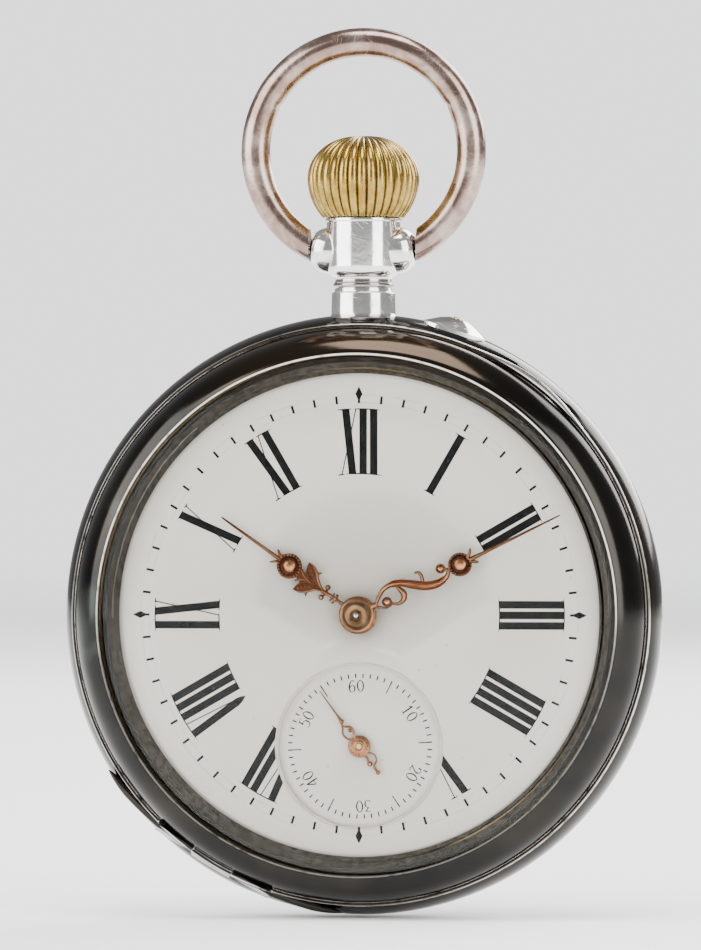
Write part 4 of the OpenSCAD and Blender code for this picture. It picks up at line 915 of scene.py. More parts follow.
def make_crystal(clear, ground):
    """The low domed crystal with its ground edge."""
    dome_r = (CRYSTAL_R ** 2 + CRYSTAL_RISE ** 2) / (2 * CRYSTAL_RISE)
    half = math.degrees(math.asin(CRYSTAL_R / dome_r))
    outer = arc((0, CRYSTAL_EDGE_Z + CRYSTAL_RISE - dome_r), dome_r, 90, 90 - half, 40)
    inner = [(r, z - CRYSTAL_T) for r, z in outer if r < CRYSTAL_R - 0.5]
    edge = [(20.95, 12.61), (21.38, 12.32), (21.45, 12.22), (21.45, 11.42), (20.5, 11.4)]
    outline = outer + edge + inner[::-1]
    piece("crystal_glass", turned(outline, 256), [clear, ground], "bezel", ["crystal"], crease=20,
          choose=lambda x, y, z: 1 if math.hypot(x, y) > CRYSTAL_R + 0.01 and z > 12.0 else 0)


def dome_line(inset):
    """The back's line from its flat to its edge, inset by some mm."""
    flat, steps = 13, 28
    return [(flat + (EDGE_R - flat - inset) * math.sin(math.pi / 2 * i / steps) ** 0.8,
             inset + (SEAM_BACK - inset) * (1 - math.cos(math.pi / 2 * i / steps) ** 0.8)) for i in range(steps + 1)]


def make_back(finish):
    """The back cover, flat in the middle and round at its edge, with a thumb lip."""
    outer = dome_line(0)
    inner = [p for p in dome_line(0.5) if p[0] < 23.7 and p[1] < 3.8]
    outline = ([(0, 0), (6, 0)] + outer[:-1] + [(EDGE_R, 4.1), (EDGE_R - 0.06, 4.18), (23.75, 4.19), (23.75, 3.8)]
               + inner[::-1] + [(6, 0.5), (0, 0.5)])

    def lip(r, z, degrees):
        if z > 3.7 and r > 23.8:
            r += LIP_REACH * swell(degrees) * min(1, (z - 3.7) / 0.3)
        return r, z

    back = piece("back_lid", turned(outline, 288, lip), finish, "back", ["back_cover"], crease=38)
    hang_lid(back, "back_knuckle", "back", SEAM_BACK, finish)


def make_cuvette(finish):
    """The inner cover and the two straps of its hinge."""
    outline = softened([(0, 2.4, 0), (19, 2.4, 1.2), (21.8, 3.8, 0.4), (23.2, 3.8, 0.05), (23.2, 4.2, 0.05),
                        (21.55, 4.2, 0.4), (18.88, 2.8, 1.2), (0, 2.8, 0)])
    piece("cuvette_lid", turned(outline, 224), finish, "cuvette", ["cuvette"], crease=38)
    out, side = clock(1, HINGE_CLOCK), clock(1, HINGE_CLOCK + 90)
    straps = []
    for a, b in ((-3.65, -1.95), (1.95, 3.65)):
        corners = [(u, v, z) for z in (3.8, 4.2) for u, v in ((22.3, a), (23.8, a), (23.8, b), (22.3, b))]
        points = [(u * out[0] + v * side[0], u * out[1] + v * side[1], z) for u, v, z in corners]
        straps.append((points, [(0, 1, 2, 3), *BOX_FACES[1:]]))
        straps.append(tangent_rod(KNUCKLE_R, a, b, SEAM_BACK))
    carve(piece("cuvette_hinge", joined(*straps), finish, "cuvette"), hinge_form(), "INTERSECT")


# ---------------------------------------------------------------- pendant, bow and crown

# The height of the bow's pivots, how far out its ends are cut, its centre's height, its radius and its wire's
PIVOT_HEIGHT, BOW_END = 30.3, 4.5
BOW_CENTRE, BOW_R, WIRE_R, BOW_STEPS = 38.602, 9.05, 1.2, 320


def across_pendant(part, side):
    """A part drawn up the z axis, laid along the bow's pivots to one side of the pendant."""
    return placed(part, (0, PIVOT_HEIGHT, STEM_Z), [(0, 0, side), (0, 1, 0), (side, 0, 0)])


def make_pendant(finish, steel):
    """The pendant's turned body with the domed bosses and the bow's pivots."""
    foot = [(0, 22.8), (2.27, 22.8), (2.27, 24.0)]
    neck = softened([(2.9, 24.3, 0.3), (2.68, 25.0, 0.4), (2.64, 26.75, 0.1), (2.42, 26.85, 0.05), (2.4, 26.95, 0.02)])
    collar = arc((2.22, 27.4), 0.3, -60, 60, 8) + [(2.34, 27.88), (2.45, 27.93)]
    tube = arc((2.03, 29.0), 1.05, -65, 0, 12)
    mouth = softened([(3.08, 32.6, 0.1), (3.15, 32.75, 0.08), (3.15, 32.95, 0.08), (2.98, 33.07, 0.03)])
    outline = foot + neck + collar + tube + mouth + [(2.15, 33.07), (2.15, 33.8), (0, 33.8)]
    boss = [(0, 1.6), (1.95, 1.6), (1.95, 2.7)]
    boss += [(0.7 + 1.25 * math.cos(a), 2.7 + 1.7 * math.sin(a)) for a in np.linspace(0.1, math.pi / 2, 12)]
    boss += [(0.52, 4.38), (0.5, 4.2), (0, 4.2)]
    body = along_stem(turned(outline, 112))
    bosses = [across_pendant(turned(boss, 72), side) for side in (-1, 1)]
    piece("pendant_body", joined(body, *bosses), finish, "case", ["pendant"], crease=42)
    pivot = turned(softened([(0, 3.6, 0), (0.46, 3.6, 0), (0.46, 5.2, 0.1), (0, 5.2, 0)]), 32)
    pivots = [across_pendant(pivot, side) for side in (-1, 1)]
    piece("bow_pivots", joined(*pivots), steel, "case", ["bow_screws"])


def make_bow(finish):
    """The open ring, a little uneven, worn thin inside at two places and cut flat where it holds the pendant."""
    end = BOW_END
    start = math.degrees(math.asin((end - 1.6) / BOW_R))
    rows = []
    rng = np.random.default_rng(4)
    wear = smooth_path([[v] for v in rng.uniform(-0.02, 0.02, BOW_STEPS // 8 + 1)], 8)[:, 0]
    for i in range(BOW_STEPS + 1):
        a = math.radians(-90 + start + (360 - 2 * start) * i / BOW_STEPS)
        deep = 0.10 * sum(math.exp(-((math.degrees(a) - at) / 2.2) ** 2) for at in (28, 152))
        row = []
        for b in np.linspace(0, 2 * math.pi, 40, endpoint=False):
            inside = max(0.0, -math.cos(b)) ** 3
            w = WIRE_R + wear[i] * 0.5 - deep * inside
            out = BOW_R + w * math.cos(b)
            row.append((out * math.cos(a), BOW_CENTRE + out * math.sin(a), STEM_Z + w * math.sin(b)))
        rows.append(row)
    bow = piece("bow_ring", lofted(rows), finish, "bow", ["bow"], crease=40)
    box = [(x, y, z) for z in (STEM_Z - 3, STEM_Z + 3) for x, y in ((-end, 25), (end, 25), (end, 34), (-end, 34))]
    carve(bow, (box, BOX_FACES))
    for s in (-1, 1):
        eye = turned([(0, 4.0), (0.5, 4.0), (0.5, 5.25), (0, 5.25)], 40)
        carve(bow, across_pendant(eye, s))
    smoothed(bow.data, 40)


def make_crown(finish):
    """The fluted onion: ribs round a plain core, with a foot and a small cap."""
    tree, names = ring_of_ribs()
    first, last = -42.5, 84
    ribs = grown("ribs", tree, names, {
        "Count": RIBS, "Reach": CROWN_REACH * MM, "Above": CROWN_ABOVE * MM, "Below": CROWN_BELOW * MM,
        "Start": math.radians(first), "Sweep": math.radians(last - first), "Fullness": 1.06, "Finish": finish},
        [(1, 0, 0), (0, 0, 1), (0, 1, 0)], (0, CROWN_MIDDLE, STEM_Z))
    side = []
    for i in range(31):
        a = math.radians(first + (last - first) * i / 30)
        tall = CROWN_ABOVE if a > 0 else CROWN_BELOW
        side.append(((CROWN_REACH - 0.06) * math.cos(a), CROWN_MIDDLE + tall * math.sin(a)))
    core = along_stem(turned([(0, side[0][1])] + side + [(0, side[-1][1])], 96))
    foot = along_stem(turned(softened([(0, 33.08, 0), (2.95, 33.08, 0.08), (3.1, 33.5, 0.1), (0, 33.9, 0)]), 96))
    cap = along_stem(turned([(0, 39.5)] + arc((0, 38.0), 1.72, 60, 88, 6) + [(0, 39.72)], 64))
    rest = piece("crown_core", joined(core, foot, cap), finish, "crown")
    both = joined_mesh("crown_fluted", [rest.data, ribs])
    bpy.data.objects.remove(rest)
    finished("crown_fluted", both, finish, "crown", ["crown"], crease=50)


def make_guard(finish, pin_finish):
    """The raised guard at one o'clock and the setting pin in it."""
    out, side = np.array([*clock(1, PIN_CLOCK), 0]), np.array([*clock(1, PIN_CLOCK + 90), 0])
    up = np.array([0, 0, 1.0])
    low, shoulder, top = CASE_R - 0.42, CASE_R - 0.05, CASE_R + 0.8
    n = 32

    def ring(length, width, height, corners):
        """A ring round the pin at some height: round with corners 2, nearly square with more."""
        points = []
        for i in range(n):
            c, s = math.cos(2 * math.pi * i / n), math.sin(2 * math.pi * i / n)
            m = (abs(c) ** corners + abs(s) ** corners) ** (-1 / corners)
            points.append(side * c * m * length + up * s * m * width + out * height + up * STEM_Z)
        return points

    rows = [ring(2.7, 1.9, low, 3.2), ring(2.7, 1.9, shoulder - 0.05, 3.2), ring(2.64, 1.84, shoulder, 2.6),
            ring(1.5, 1.1, shoulder + 0.62, 1.7), ring(0.9, 0.78, top - 0.04, 2.0), ring(0.84, 0.72, top, 2.0),
            ring(0.52, 0.52, top, 2.0), ring(0.5, 0.5, top - 0.12, 2.0), ring(0.5, 0.5, low, 2.0)]
    points, faces = lofted(rows, caps=False)
    faces += [(j, (j + 1) % n, 8 * n + (j + 1) % n, 8 * n + j) for j in range(n)]
    piece("set_pin_guard_body", (points, faces), finish, "case", ["set_pin_guard"], crease=24)
    pin = softened([(0, 20.12, 0), (0.4, 20.12, 0.05), (0.4, 21.6, 0), (0.45, 21.7, 0), (0.45, 25.95, 0.14),
                    (0, 25.95, 0)], 6)
    collar = softened([(0, 23.6, 0), (0.8, 23.6, 0.05), (0.8, 23.95, 0.05), (0, 23.95, 0)])
    button = joined(*(along_stem(turned(outline, 40), PIN_CLOCK) for outline in (pin, collar)))
    piece("set_pin_button", button, pin_finish, "set_pin", ["set_pin"])


# ---------------------------------------------------------------- dial

def flat_with_holes(rings, z):
    """A flat sheet at height z between the dial's rim and its holes. rings are lists of (x, y)."""
    points, edges = [], []
    for ring in rings:
        start = len(points)
        points += [Vector(p) for p in ring]
        edges += [(start + i, start + (i + 1) % len(ring)) for i in range(len(ring))]
    found, _, faces, *_ = delaunay_2d_cdt(points, edges, [], 2, 1e-7)
    kept = []
    for face in faces:
        c = sum((found[i] for i in face), Vector((0, 0))) / len(face)
        if not any(math.hypot(c.x - hx, c.y - hy) < hr for hx, hy, hr in DIAL_HOLES):
            kept.append(tuple(face))
    return [(p.x, p.y, z) for p in found], kept


DIAL_HOLES = [(0.0, 0.0, 1.45), (SECONDS_CENTRE[0], SECONDS_CENTRE[1], SECONDS_R + 0.05)]


def circle(radius, count, centre=(0, 0)):
    turns = [2 * math.pi * i / count for i in range(count)]
    return [(centre[0] + radius * math.cos(a), centre[1] + radius * math.sin(a)) for a in turns]


def edge_skin(lines, count, centre=(0, 0)):
    """A skin turned round a centre through (radius, height) lines, open at both ends."""
    return lofted([[(*p, z) for p in circle(r, count, centre)] for r, z in lines], caps=False)


def make_dial(finish, edge):
    """The dial with its rolled edge round the seconds, and the sunk plate under it."""
    hole = SECONDS_R + 0.17
    top = flat_with_holes([circle(DIAL_R - 0.1, 256), circle(DIAL_EYE_R + 0.03, 64),
                           circle(hole + 0.04, 160, SECONDS_CENTRE)], DIAL_TOP)
    rim = edge_skin([(DIAL_R - 0.1, DIAL_TOP), (DIAL_R - 0.03, DIAL_TOP - 0.03), (DIAL_R, DIAL_TOP - 0.1),
                     (DIAL_R, DIAL_UNDER)], 256)
    eye = edge_skin([(DIAL_EYE_R + 0.03, DIAL_TOP), (DIAL_EYE_R, DIAL_TOP - 0.03), (DIAL_EYE_R, DIAL_UNDER)], 64)
    curve = [(hole + 0.04, DIAL_TOP), (hole, DIAL_TOP)] + [
        (hole - 0.17 * math.sin(t), DIAL_TOP - 0.26 * (1 - math.cos(t))) for t in np.linspace(0.2, math.pi / 2, 7)]
    well = edge_skin(curve + [(SECONDS_R, DIAL_UNDER)], 160, SECONDS_CENTRE)
    under = flat_with_holes([circle(DIAL_R, 256), circle(DIAL_EYE_R, 64), circle(SECONDS_R, 160, SECONDS_CENTRE)],
                            DIAL_UNDER)
    piece("dial_enamel", joined(top, rim, eye, well, under), [finish, edge], "case", ["dial"], crease=50,
          choose=lambda x, y, z: 1 if math.hypot(x - SECONDS_CENTRE[0], y - SECONDS_CENTRE[1]) < hole - 0.01
          and DIAL_UNDER + 0.01 < z < DIAL_TOP - 0.004 else 0)
    plate = softened([(0.45, 8.88, 0), (7.1, 8.88, 0), (7.1, SECONDS_TOP, 0.02), (0.45, SECONDS_TOP, 0.03)])
    sunk = placed(turned(plate, 160), (*SECONDS_CENTRE, 0))
    piece("seconds_enamel", sunk, finish, "case", ["seconds_dial"])


# The print's thickness, the numerals' half stroke, and how far from the hands' axis they begin and end
PRINT_T, BAR_HALF, NUMERAL_LOW, NUMERAL_HIGH = 0.012, 0.315, 11.72, 17.08
MINUTES_R, QUARTERS_R = 17.88, 18.32


def ahead_of(hour):
    """The directions to the clockwise side of an hour and outwards at it."""
    a = math.radians(30 * hour)
    return np.array([math.cos(a), -math.sin(a)]), np.array([math.sin(a), math.cos(a)])


def strip(points, half_widths, z, thick=PRINT_T):
    """A flat printed stroke along points with its half width at each, on top of height z."""
    p = np.asarray(points, float)
    w = np.broadcast_to(np.asarray(half_widths, float), (len(p),))
    d = np.gradient(p, axis=0)
    d /= np.linalg.norm(d, axis=1)[:, None] + 1e-12
    side = np.stack([-d[:, 1], d[:, 0]], 1) * w[:, None]
    rows = []
    for q, s in zip(p, side):
        a, b = q + s, q - s
        rows.append([(*a, z - 0.004), (*b, z - 0.004), (*b, z + thick), (*a, z + thick)])
    return lofted(rows)


def numeral_parts(spec, hour):
    """The strokes of one hour's numeral. Across is mm to the clockwise side, up is mm from the hands' axis."""
    low, high = NUMERAL_LOW, NUMERAL_HIGH
    right, out = ahead_of(hour)

    def place(x, y):
        return right * x + out * math.sqrt(max(y * y - x * x, 0))

    parts = []
    for kind, *v in spec:
        if kind == "bar":
            parts.append(strip([place(v[0], low), place(v[0], high)], BAR_HALF, DIAL_TOP))
        elif kind == "slant":
            parts.append(strip([place(v[0], high), place(v[1], low)], BAR_HALF, DIAL_TOP))
        elif kind == "point":
            line = [place(v[0] + (v[1] - v[0]) * t, high + (low - 0.05 - high) * t) for t in (0, 0.85, 0.93, 1)]
            parts.append(strip(line, (BAR_HALF, BAR_HALF, BAR_HALF * 0.7, 0.03), DIAL_TOP))
        elif kind == "hair":
            parts.append(strip([place(v[0], v[1]), place(v[2], v[3])], 0.045, DIAL_TOP))
        elif kind == "serif":
            r = high if v[0] == "top" else low
            line = [place(x, r) for x in np.linspace(v[1], v[2], 9)]
            parts.append(strip(line, [0.02, 0.045, 0.05, 0.05, 0.05, 0.05, 0.05, 0.045, 0.02], DIAL_TOP))
    return parts


def numerals():
    """The strokes of each hour's numeral. The foot of every numeral is towards the hands."""
    low, high = NUMERAL_LOW, NUMERAL_HIGH

    def bars(*xs):
        return [("bar", x) for x in xs]

    def serifs(end, *spans):
        return [("serif", end, a, b) for a, b in spans]

    def both(reach):
        return serifs("top", (-reach, reach)) + serifs("low", (-reach, reach))

    def cross(c):
        return [("slant", c - 0.28, c + 0.30), ("hair", c + 0.57, high, c - 0.58, low)]

    def vee(c):
        return [("point", c - 0.36, c + 0.24), ("hair", c + 0.64, high, c + 0.40, low + 1.2)]

    return {
        1: bars(0) + both(0.55),
        2: bars(-0.43, 0.43) + both(0.95),
        3: bars(-0.87, 0, 0.87) + both(1.38),
        4: bars(-1.3, -0.43, 0.43, 1.3) + both(1.8),
        5: vee(0) + serifs("top", (-0.95, -0.1), (0.35, 0.95)),
        7: vee(-1.0) + bars(0.36, 1.23) + serifs("top", (-1.9, 1.75)) + serifs("low", (-0.1, 1.75)),
        8: vee(-1.33) + bars(-0.03, 0.84, 1.71) + serifs("top", (-2.28, 2.25)) + serifs("low", (-0.45, 2.2)),
        9: (bars(-0.85) + cross(0.55) + serifs("top", (-1.4, 0.85), (0.95, 1.4))
            + serifs("low", (-1.4, 0.15), (0.35, 1.35))),
        10: cross(0) + serifs("top", (-0.75, 0.15), (0.35, 0.8)) + serifs("low", (-0.8, -0.35), (-0.15, 0.8)),
        11: (cross(-0.45) + bars(0.75) + serifs("top", (-1.25, -0.3), (-0.1, 1.25))
             + serifs("low", (-1.3, -0.8), (-0.6, 1.3))),
        12: (cross(-0.83) + bars(0.35, 1.23) + serifs("top", (-1.8, -0.6), (-0.42, 1.75))
             + serifs("low", (-1.75, -1.22), (-1.1, 1.9))),
    }


def hairline(radius, half, low, high, steps):
    """A thin printed circle."""
    inner, outer = radius - half, radius + half
    return turned([(inner, low), (outer, low), (outer, high), (inner, high)], steps)


def make_print(black, faint):
    """The hour numerals, the minute track with its hairlines and the quarters' diamonds."""
    well = turned([(0, 9), (SECONDS_R + 0.28, 9), (SECONDS_R + 0.28, 11), (0, 11)], 128)
    well = placed(well, (*SECONDS_CENTRE, 0))
    strokes = []
    for hour, spec in numerals().items():
        for part in numeral_parts(spec, hour):
            strokes.append(carved(part, well) if hour in (5, 7) else part)
    piece("dial_numerals", joined(*strokes), black, "case", crease=30)

    tree, names = ring_of_marks()
    minutes = grown("minutes", tree, names, {
        "Count": 60, "Radius": MINUTES_R * MM, "Length": 0.66 * MM, "Width": 0.2 * MM, "Thickness": 0.016 * MM,
        "Finish": black}, shift=(0, 0, DIAL_TOP + 0.004))
    finished("minute_marks", minutes, black, "case", crease=30)
    diamonds = []
    for hour in (0, 3, 6, 9):
        out = ahead_of(hour)[1]
        line = [out * (QUARTERS_R + t * 0.62) for t in (-1, 0, 1)]
        diamonds.append(strip(line, (0.01, 0.30, 0.01), DIAL_TOP, 0.018))
    piece("quarter_diamonds", joined(*diamonds), black, "case")
    rings = [hairline(r, 0.022, DIAL_TOP - 0.004, DIAL_TOP + 0.006, 240) for r in (18.25, 17.6)]
    piece("track_hairlines", joined(*rings), faint, "case")


DIGITS = {
    "0": [[(0.5, 1.0), (0.16, 0.82), (0.02, 0.5), (0.16, 0.18), (0.5, 0.0), (0.84, 0.18), (0.98, 0.5), (0.84, 0.82),
           (0.5, 1.0)]],
    "1": [[(0.2, 0.74), (0.55, 1.0)], [(0.55, 1.0), (0.55, 0.0)], [(0.2, 0.0), (0.9, 0.0)]],
    "2": [[(0.08, 0.7), (0.16, 0.92), (0.5, 1.0), (0.84, 0.86), (0.86, 0.6), (0.5, 0.32), (0.05, 0.03)],
          [(0.05, 0.03), (0.4, 0.1), (0.7, 0.0), (0.98, 0.14)]],
    "3": [[(0.1, 0.97), (0.86, 0.97)], [(0.86, 0.97), (0.42, 0.6)],
          [(0.42, 0.6), (0.8, 0.55), (0.96, 0.3), (0.76, 0.05), (0.4, 0.0), (0.1, 0.12)]],
    "4": [[(0.74, 0.0), (0.74, 1.0)], [(0.74, 1.0), (0.02, 0.3)], [(0.02, 0.3), (1.0, 0.3)], [(0.5, 0.0), (0.98, 0.0)]],
    "5": [[(0.9, 0.97), (0.24, 0.97)], [(0.24, 0.97), (0.16, 0.54)],
          [(0.16, 0.54), (0.5, 0.64), (0.9, 0.5), (0.92, 0.2), (0.6, 0.0), (0.12, 0.08)]],
    "6": [[(0.88, 0.88), (0.6, 1.0), (0.22, 0.8), (0.05, 0.4), (0.2, 0.06), (0.55, 0.0), (0.9, 0.16), (0.88, 0.45),
           (0.55, 0.58), (0.2, 0.46), (0.08, 0.3)]],
}


def pen_stroke(points, width):
    """A stroke of a broad pen: thick where it runs up and down, thin where it runs across."""
    p = smooth_path(points, 7) if len(points) > 2 else np.asarray(points, float)
    if len(p) == 2:
        p = np.array([p[0] + (p[1] - p[0]) * t for t in (0, 0.5, 1)])
    d = np.gradient(p, axis=0)
    steep = np.abs(d[:, 1]) / (np.linalg.norm(d, axis=1) + 1e-12)
    return p, width * (0.38 + 0.62 * steep)


def make_seconds_print(black, faint):
    """The tens of the seconds, turned to stand outwards, and their track."""
    parts, turn0 = [], -3.5
    height, wide = 0.96, 0.52
    for tens in range(1, 7):
        right, out = ahead_of((tens * 60 + turn0) / 30)
        for k, digit in enumerate(f"{tens}0"):
            for stroke in DIGITS[digit]:
                p, half = pen_stroke(stroke, 0.06)
                x = p[:, 0] * wide + (-0.62 if k == 0 else 0.08)
                y = 5.0 - height / 2 + p[:, 1] * height
                place = np.array(SECONDS_CENTRE) + x[:, None] * right + y[:, None] * out
                parts.append(strip(place, half, SECONDS_TOP))
    for five in range(12):
        if five % 2:
            out, c = ahead_of(five + turn0 / 30)[1], np.array(SECONDS_CENTRE)
            parts.append(strip([c + out * 4.9, c + out * 6.03], 0.045, SECONDS_TOP))
    piece("seconds_numerals", joined(*parts), black, "case", crease=30)
    tree, names = ring_of_marks()
    marks = grown("marks", tree, names, {
        "Count": 60, "Radius": 5.84 * MM, "Length": 0.38 * MM, "Width": 0.11 * MM, "Thickness": 0.016 * MM,
        "Finish": black}, placed_axes(-turn0), (*SECONDS_CENTRE, SECONDS_TOP + 0.004))
    finished("seconds_marks", marks, black, "case", crease=30)
    rings = [hairline(r, 0.018, SECONDS_TOP - 0.004, SECONDS_TOP + 0.007, 160) for r in (6.03, 5.65)]
    piece("seconds_hairlines", placed(joined(*rings), (*SECONDS_CENTRE, 0)), faint, "case")


def placed_axes(degrees):
    """Axes turned about z."""
    a = math.radians(degrees)
    return [(math.cos(a), math.sin(a), 0), (-math.sin(a), math.cos(a), 0), (0, 0, 1)]


# ---------------------------------------------------------------- hands

class Hand:
    """One hand's relief. u runs from the hub to the tip and v to the counterclockwise side, in mm."""

    def __init__(self, degrees, base, centre=(0.0, 0.0)):
        self.out, self.left = np.array(clock(1, degrees)), np.array(clock(1, degrees - 90))
        self.base, self.centre, self.parts = base, np.array(centre), []

    def at(self, u, v):
        return self.centre + self.out * u + self.left * v

    def stroke(self, path, steps=7, sides=9, plinth=0.06):
        """A rounded stroke through (u, v, half width, height)."""
        p = smooth_path(path, steps)
        d = np.gradient(p[:, :2], axis=0)
        d /= np.linalg.norm(d, axis=1)[:, None] + 1e-9
        rows = []
        for (u, v, w, h), (du, dv) in zip(p, d):
            w, h = max(w, 0.012), max(h, 0.012)
            row = [(-w * 0.96, self.base), (w * 0.96, self.base)]
            row += [(w * math.cos(a), self.base + plinth + h * math.sin(a)) for a in np.linspace(0, math.pi, sides)]
            rows.append([(*self.at(u - dv * s, v + du * s), z) for s, z in row])
        self.parts.append(lofted(rows))
        return self

    def dome(self, u, v, radius, height, foot=0.06, steps=32):
        line = [(0, self.base), (radius, self.base), (radius, self.base + foot)]
        line += [(radius * math.cos(a), self.base + foot + height * math.sin(a))
                 for a in np.linspace(0.12, math.pi / 2, 9)]
        self.parts.append(placed(turned(line, steps), (*self.at(u, v), 0)))
        return self

    def ring(self, u, v, line):
        """A turned shape on the hand: (radius, height above the hand's underside)."""
        outline = [(r, self.base + z) for r, z in line]
        self.parts.append(placed(turned(outline, 72), (*self.at(u, v), 0)))
        return self

    def boss(self, u, radius, dome):
        """A round boss: a plate with a dome in its middle."""
        self.ring(u, 0, [(0, 0), (radius, 0), (radius, 0.07), (radius - 0.04, 0.1), (0, 0.1)])
        return self.dome(u, 0, dome, 0.36, 0.1, 40)

    def beads(self, name, u, count, radius, size, rise, finish, body):
        tree, names = ring_of_beads()
        mesh = grown(name, tree, names, {"Count": count, "Radius": radius * MM, "Bead": size * MM, "Finish": finish},
                     shift=(*self.at(u, 0), self.base + rise))
        return finished(name, mesh, finish, body, crease=0)

    def fill(self, outline, low, high):
        """A flat sheet between two heights above the underside, inside an outline of (u, v)."""
        ring = [tuple(self.at(u, v)) for u, v in outline]
        n = len(ring)
        points = [(*p, self.base + low) for p in ring] + [(*p, self.base + high) for p in ring]
        middle = np.mean(ring, axis=0)
        points += [(*middle, self.base + low), (*middle, self.base + high)]
        faces = []
        for i in range(n):
            j = (i + 1) % n
            faces += [(i, j, n + j, n + i), (i, 2 * n, j), (n + i, n + j, 2 * n + 1)]
        self.parts.append((points, faces))
        return self


HOUR_BASE, MINUTE_BASE, SECONDS_BASE = 10.75, 11.35, 9.75


def make_hour_hand(gilt):
    h = Hand(305.4, HOUR_BASE)
    h.ring(0, 0, [(1.1, 0), (1.5, 0), (1.56, 0.05), (1.56, 0.2), (1.48, 0.27), (1.1, 0.27)])
    h.stroke([(1.4, 0, 0.2, 0.16), (1.9, 0, 0.15, 0.17), (2.6, 0, 0.15, 0.18), (3.2, 0.06, 0.17, 0.18),
              (3.6, 0.1, 0.2, 0.16)])
    h.stroke([(2.34, -0.42, 0.1, 0.12), (2.3, -0.2, 0.13, 0.22), (2.28, 0.02, 0.12, 0.26), (2.3, 0.24, 0.13, 0.22),
              (2.34, 0.46, 0.1, 0.12)])
    h.stroke([(2.62, -0.36, 0.07, 0.1), (2.58, 0, 0.08, 0.2), (2.62, 0.4, 0.07, 0.1)])
    for v in (-0.42, 0.58):
        h.dome(3.35, v, 0.23, 0.22)
        h.stroke([(3.2, 0.08, 0.1, 0.12), (3.3, 0.08 + (v - 0.08) * 0.7, 0.08, 0.12)])
    h.fill([(3.4, 0.1), (4.0, -0.2), (4.4, -0.48), (4.8, -0.88), (5.28, -1.14), (5.8, -1.2), (5.66, -0.7), (5.5, -0.4),
            (6.0, -0.2), (6.0, 0.45), (5.6, 0.55), (5.5, 0.72), (5.62, 1.36), (5.1, 1.24), (4.66, 0.96), (4.4, 0.6),
            (4.0, 0.3)], 0.02, 0.15)
    h.stroke([(3.45, 0.08, 0.1, 0.14), (3.98, -0.17, 0.11, 0.2), (4.42, -0.48, 0.12, 0.2), (4.82, -0.88, 0.12, 0.19),
              (5.28, -1.13, 0.1, 0.17), (5.84, -1.2, 0.03, 0.1)])
    h.stroke([(5.8, -1.17, 0.04, 0.1), (5.68, -0.8, 0.07, 0.17), (5.5, -0.48, 0.08, 0.19), (4.98, -0.17, 0.08, 0.19),
              (4.35, 0.02, 0.07, 0.17)])
    h.stroke([(5.98, -0.42, 0.06, 0.12), (5.76, -0.2, 0.08, 0.17), (5.3, 0.02, 0.08, 0.17), (4.6, 0.08, 0.07, 0.15)])
    h.stroke([(3.5, 0.1, 0.1, 0.14), (4.0, 0.26, 0.11, 0.19), (4.41, 0.6, 0.12, 0.2), (4.68, 0.96, 0.12, 0.19),
              (5.1, 1.24, 0.1, 0.17), (5.68, 1.38, 0.03, 0.1)])
    h.stroke([(5.64, 1.34, 0.04, 0.1), (5.56, 1.0, 0.07, 0.17), (5.44, 0.66, 0.08, 0.19), (5.08, 0.3, 0.08, 0.19),
              (4.45, 0.13, 0.07, 0.17)])
    h.stroke([(5.96, 0.72, 0.06, 0.12), (5.74, 0.5, 0.08, 0.17), (5.4, 0.24, 0.08, 0.17), (4.8, 0.12, 0.07, 0.15)])
    for u, v in ((5.5, -0.93), (5.27, -0.75), (5.04, -0.55), (4.78, -0.36), (5.36, 1.04), (5.17, 0.8), (4.94, 0.57),
                 (4.66, 0.42)):
        h.dome(u, v, 0.105, 0.12, 0.14, 14)
    h.stroke([(4.72, -0.82, 0.14, 0.12), (4.58, -0.98, 0.09, 0.1), (4.42, -1.14, 0.02, 0.04)], plinth=0.1)
    h.stroke([(4.66, 0.95, 0.14, 0.12), (4.54, 1.1, 0.09, 0.1), (4.42, 1.28, 0.02, 0.04)], plinth=0.1)
    h.boss(7.0, 1.05, 0.68)
    h.stroke([(7.9, -0.12, 0.1, 0.14), (8.2, -0.3, 0.12, 0.17), (8.45, -0.48, 0.11, 0.16), (8.6, -0.56, 0.04, 0.08)])
    h.stroke([(7.95, 0.12, 0.1, 0.13), (8.2, 0.36, 0.1, 0.15), (8.42, 0.58, 0.08, 0.13), (8.56, 0.68, 0.03, 0.06)])
    h.dome(8.02, -0.34, 0.13, 0.2)
    h.stroke([(7.9, 0, 0.18, 0.17), (9.0, 0, 0.15, 0.16), (11.5, 0, 0.12, 0.13), (13.7, 0, 0.075, 0.08),
              (14.0, 0, 0.02, 0.03)])
    piece("hour_hand_relief", joined(*h.parts), gilt, "hour", ["hour_hand"], crease=50)
    h.beads("hour_hand_beads", 7.0, 22, 0.94, 0.125, 0.14, gilt, "hour")


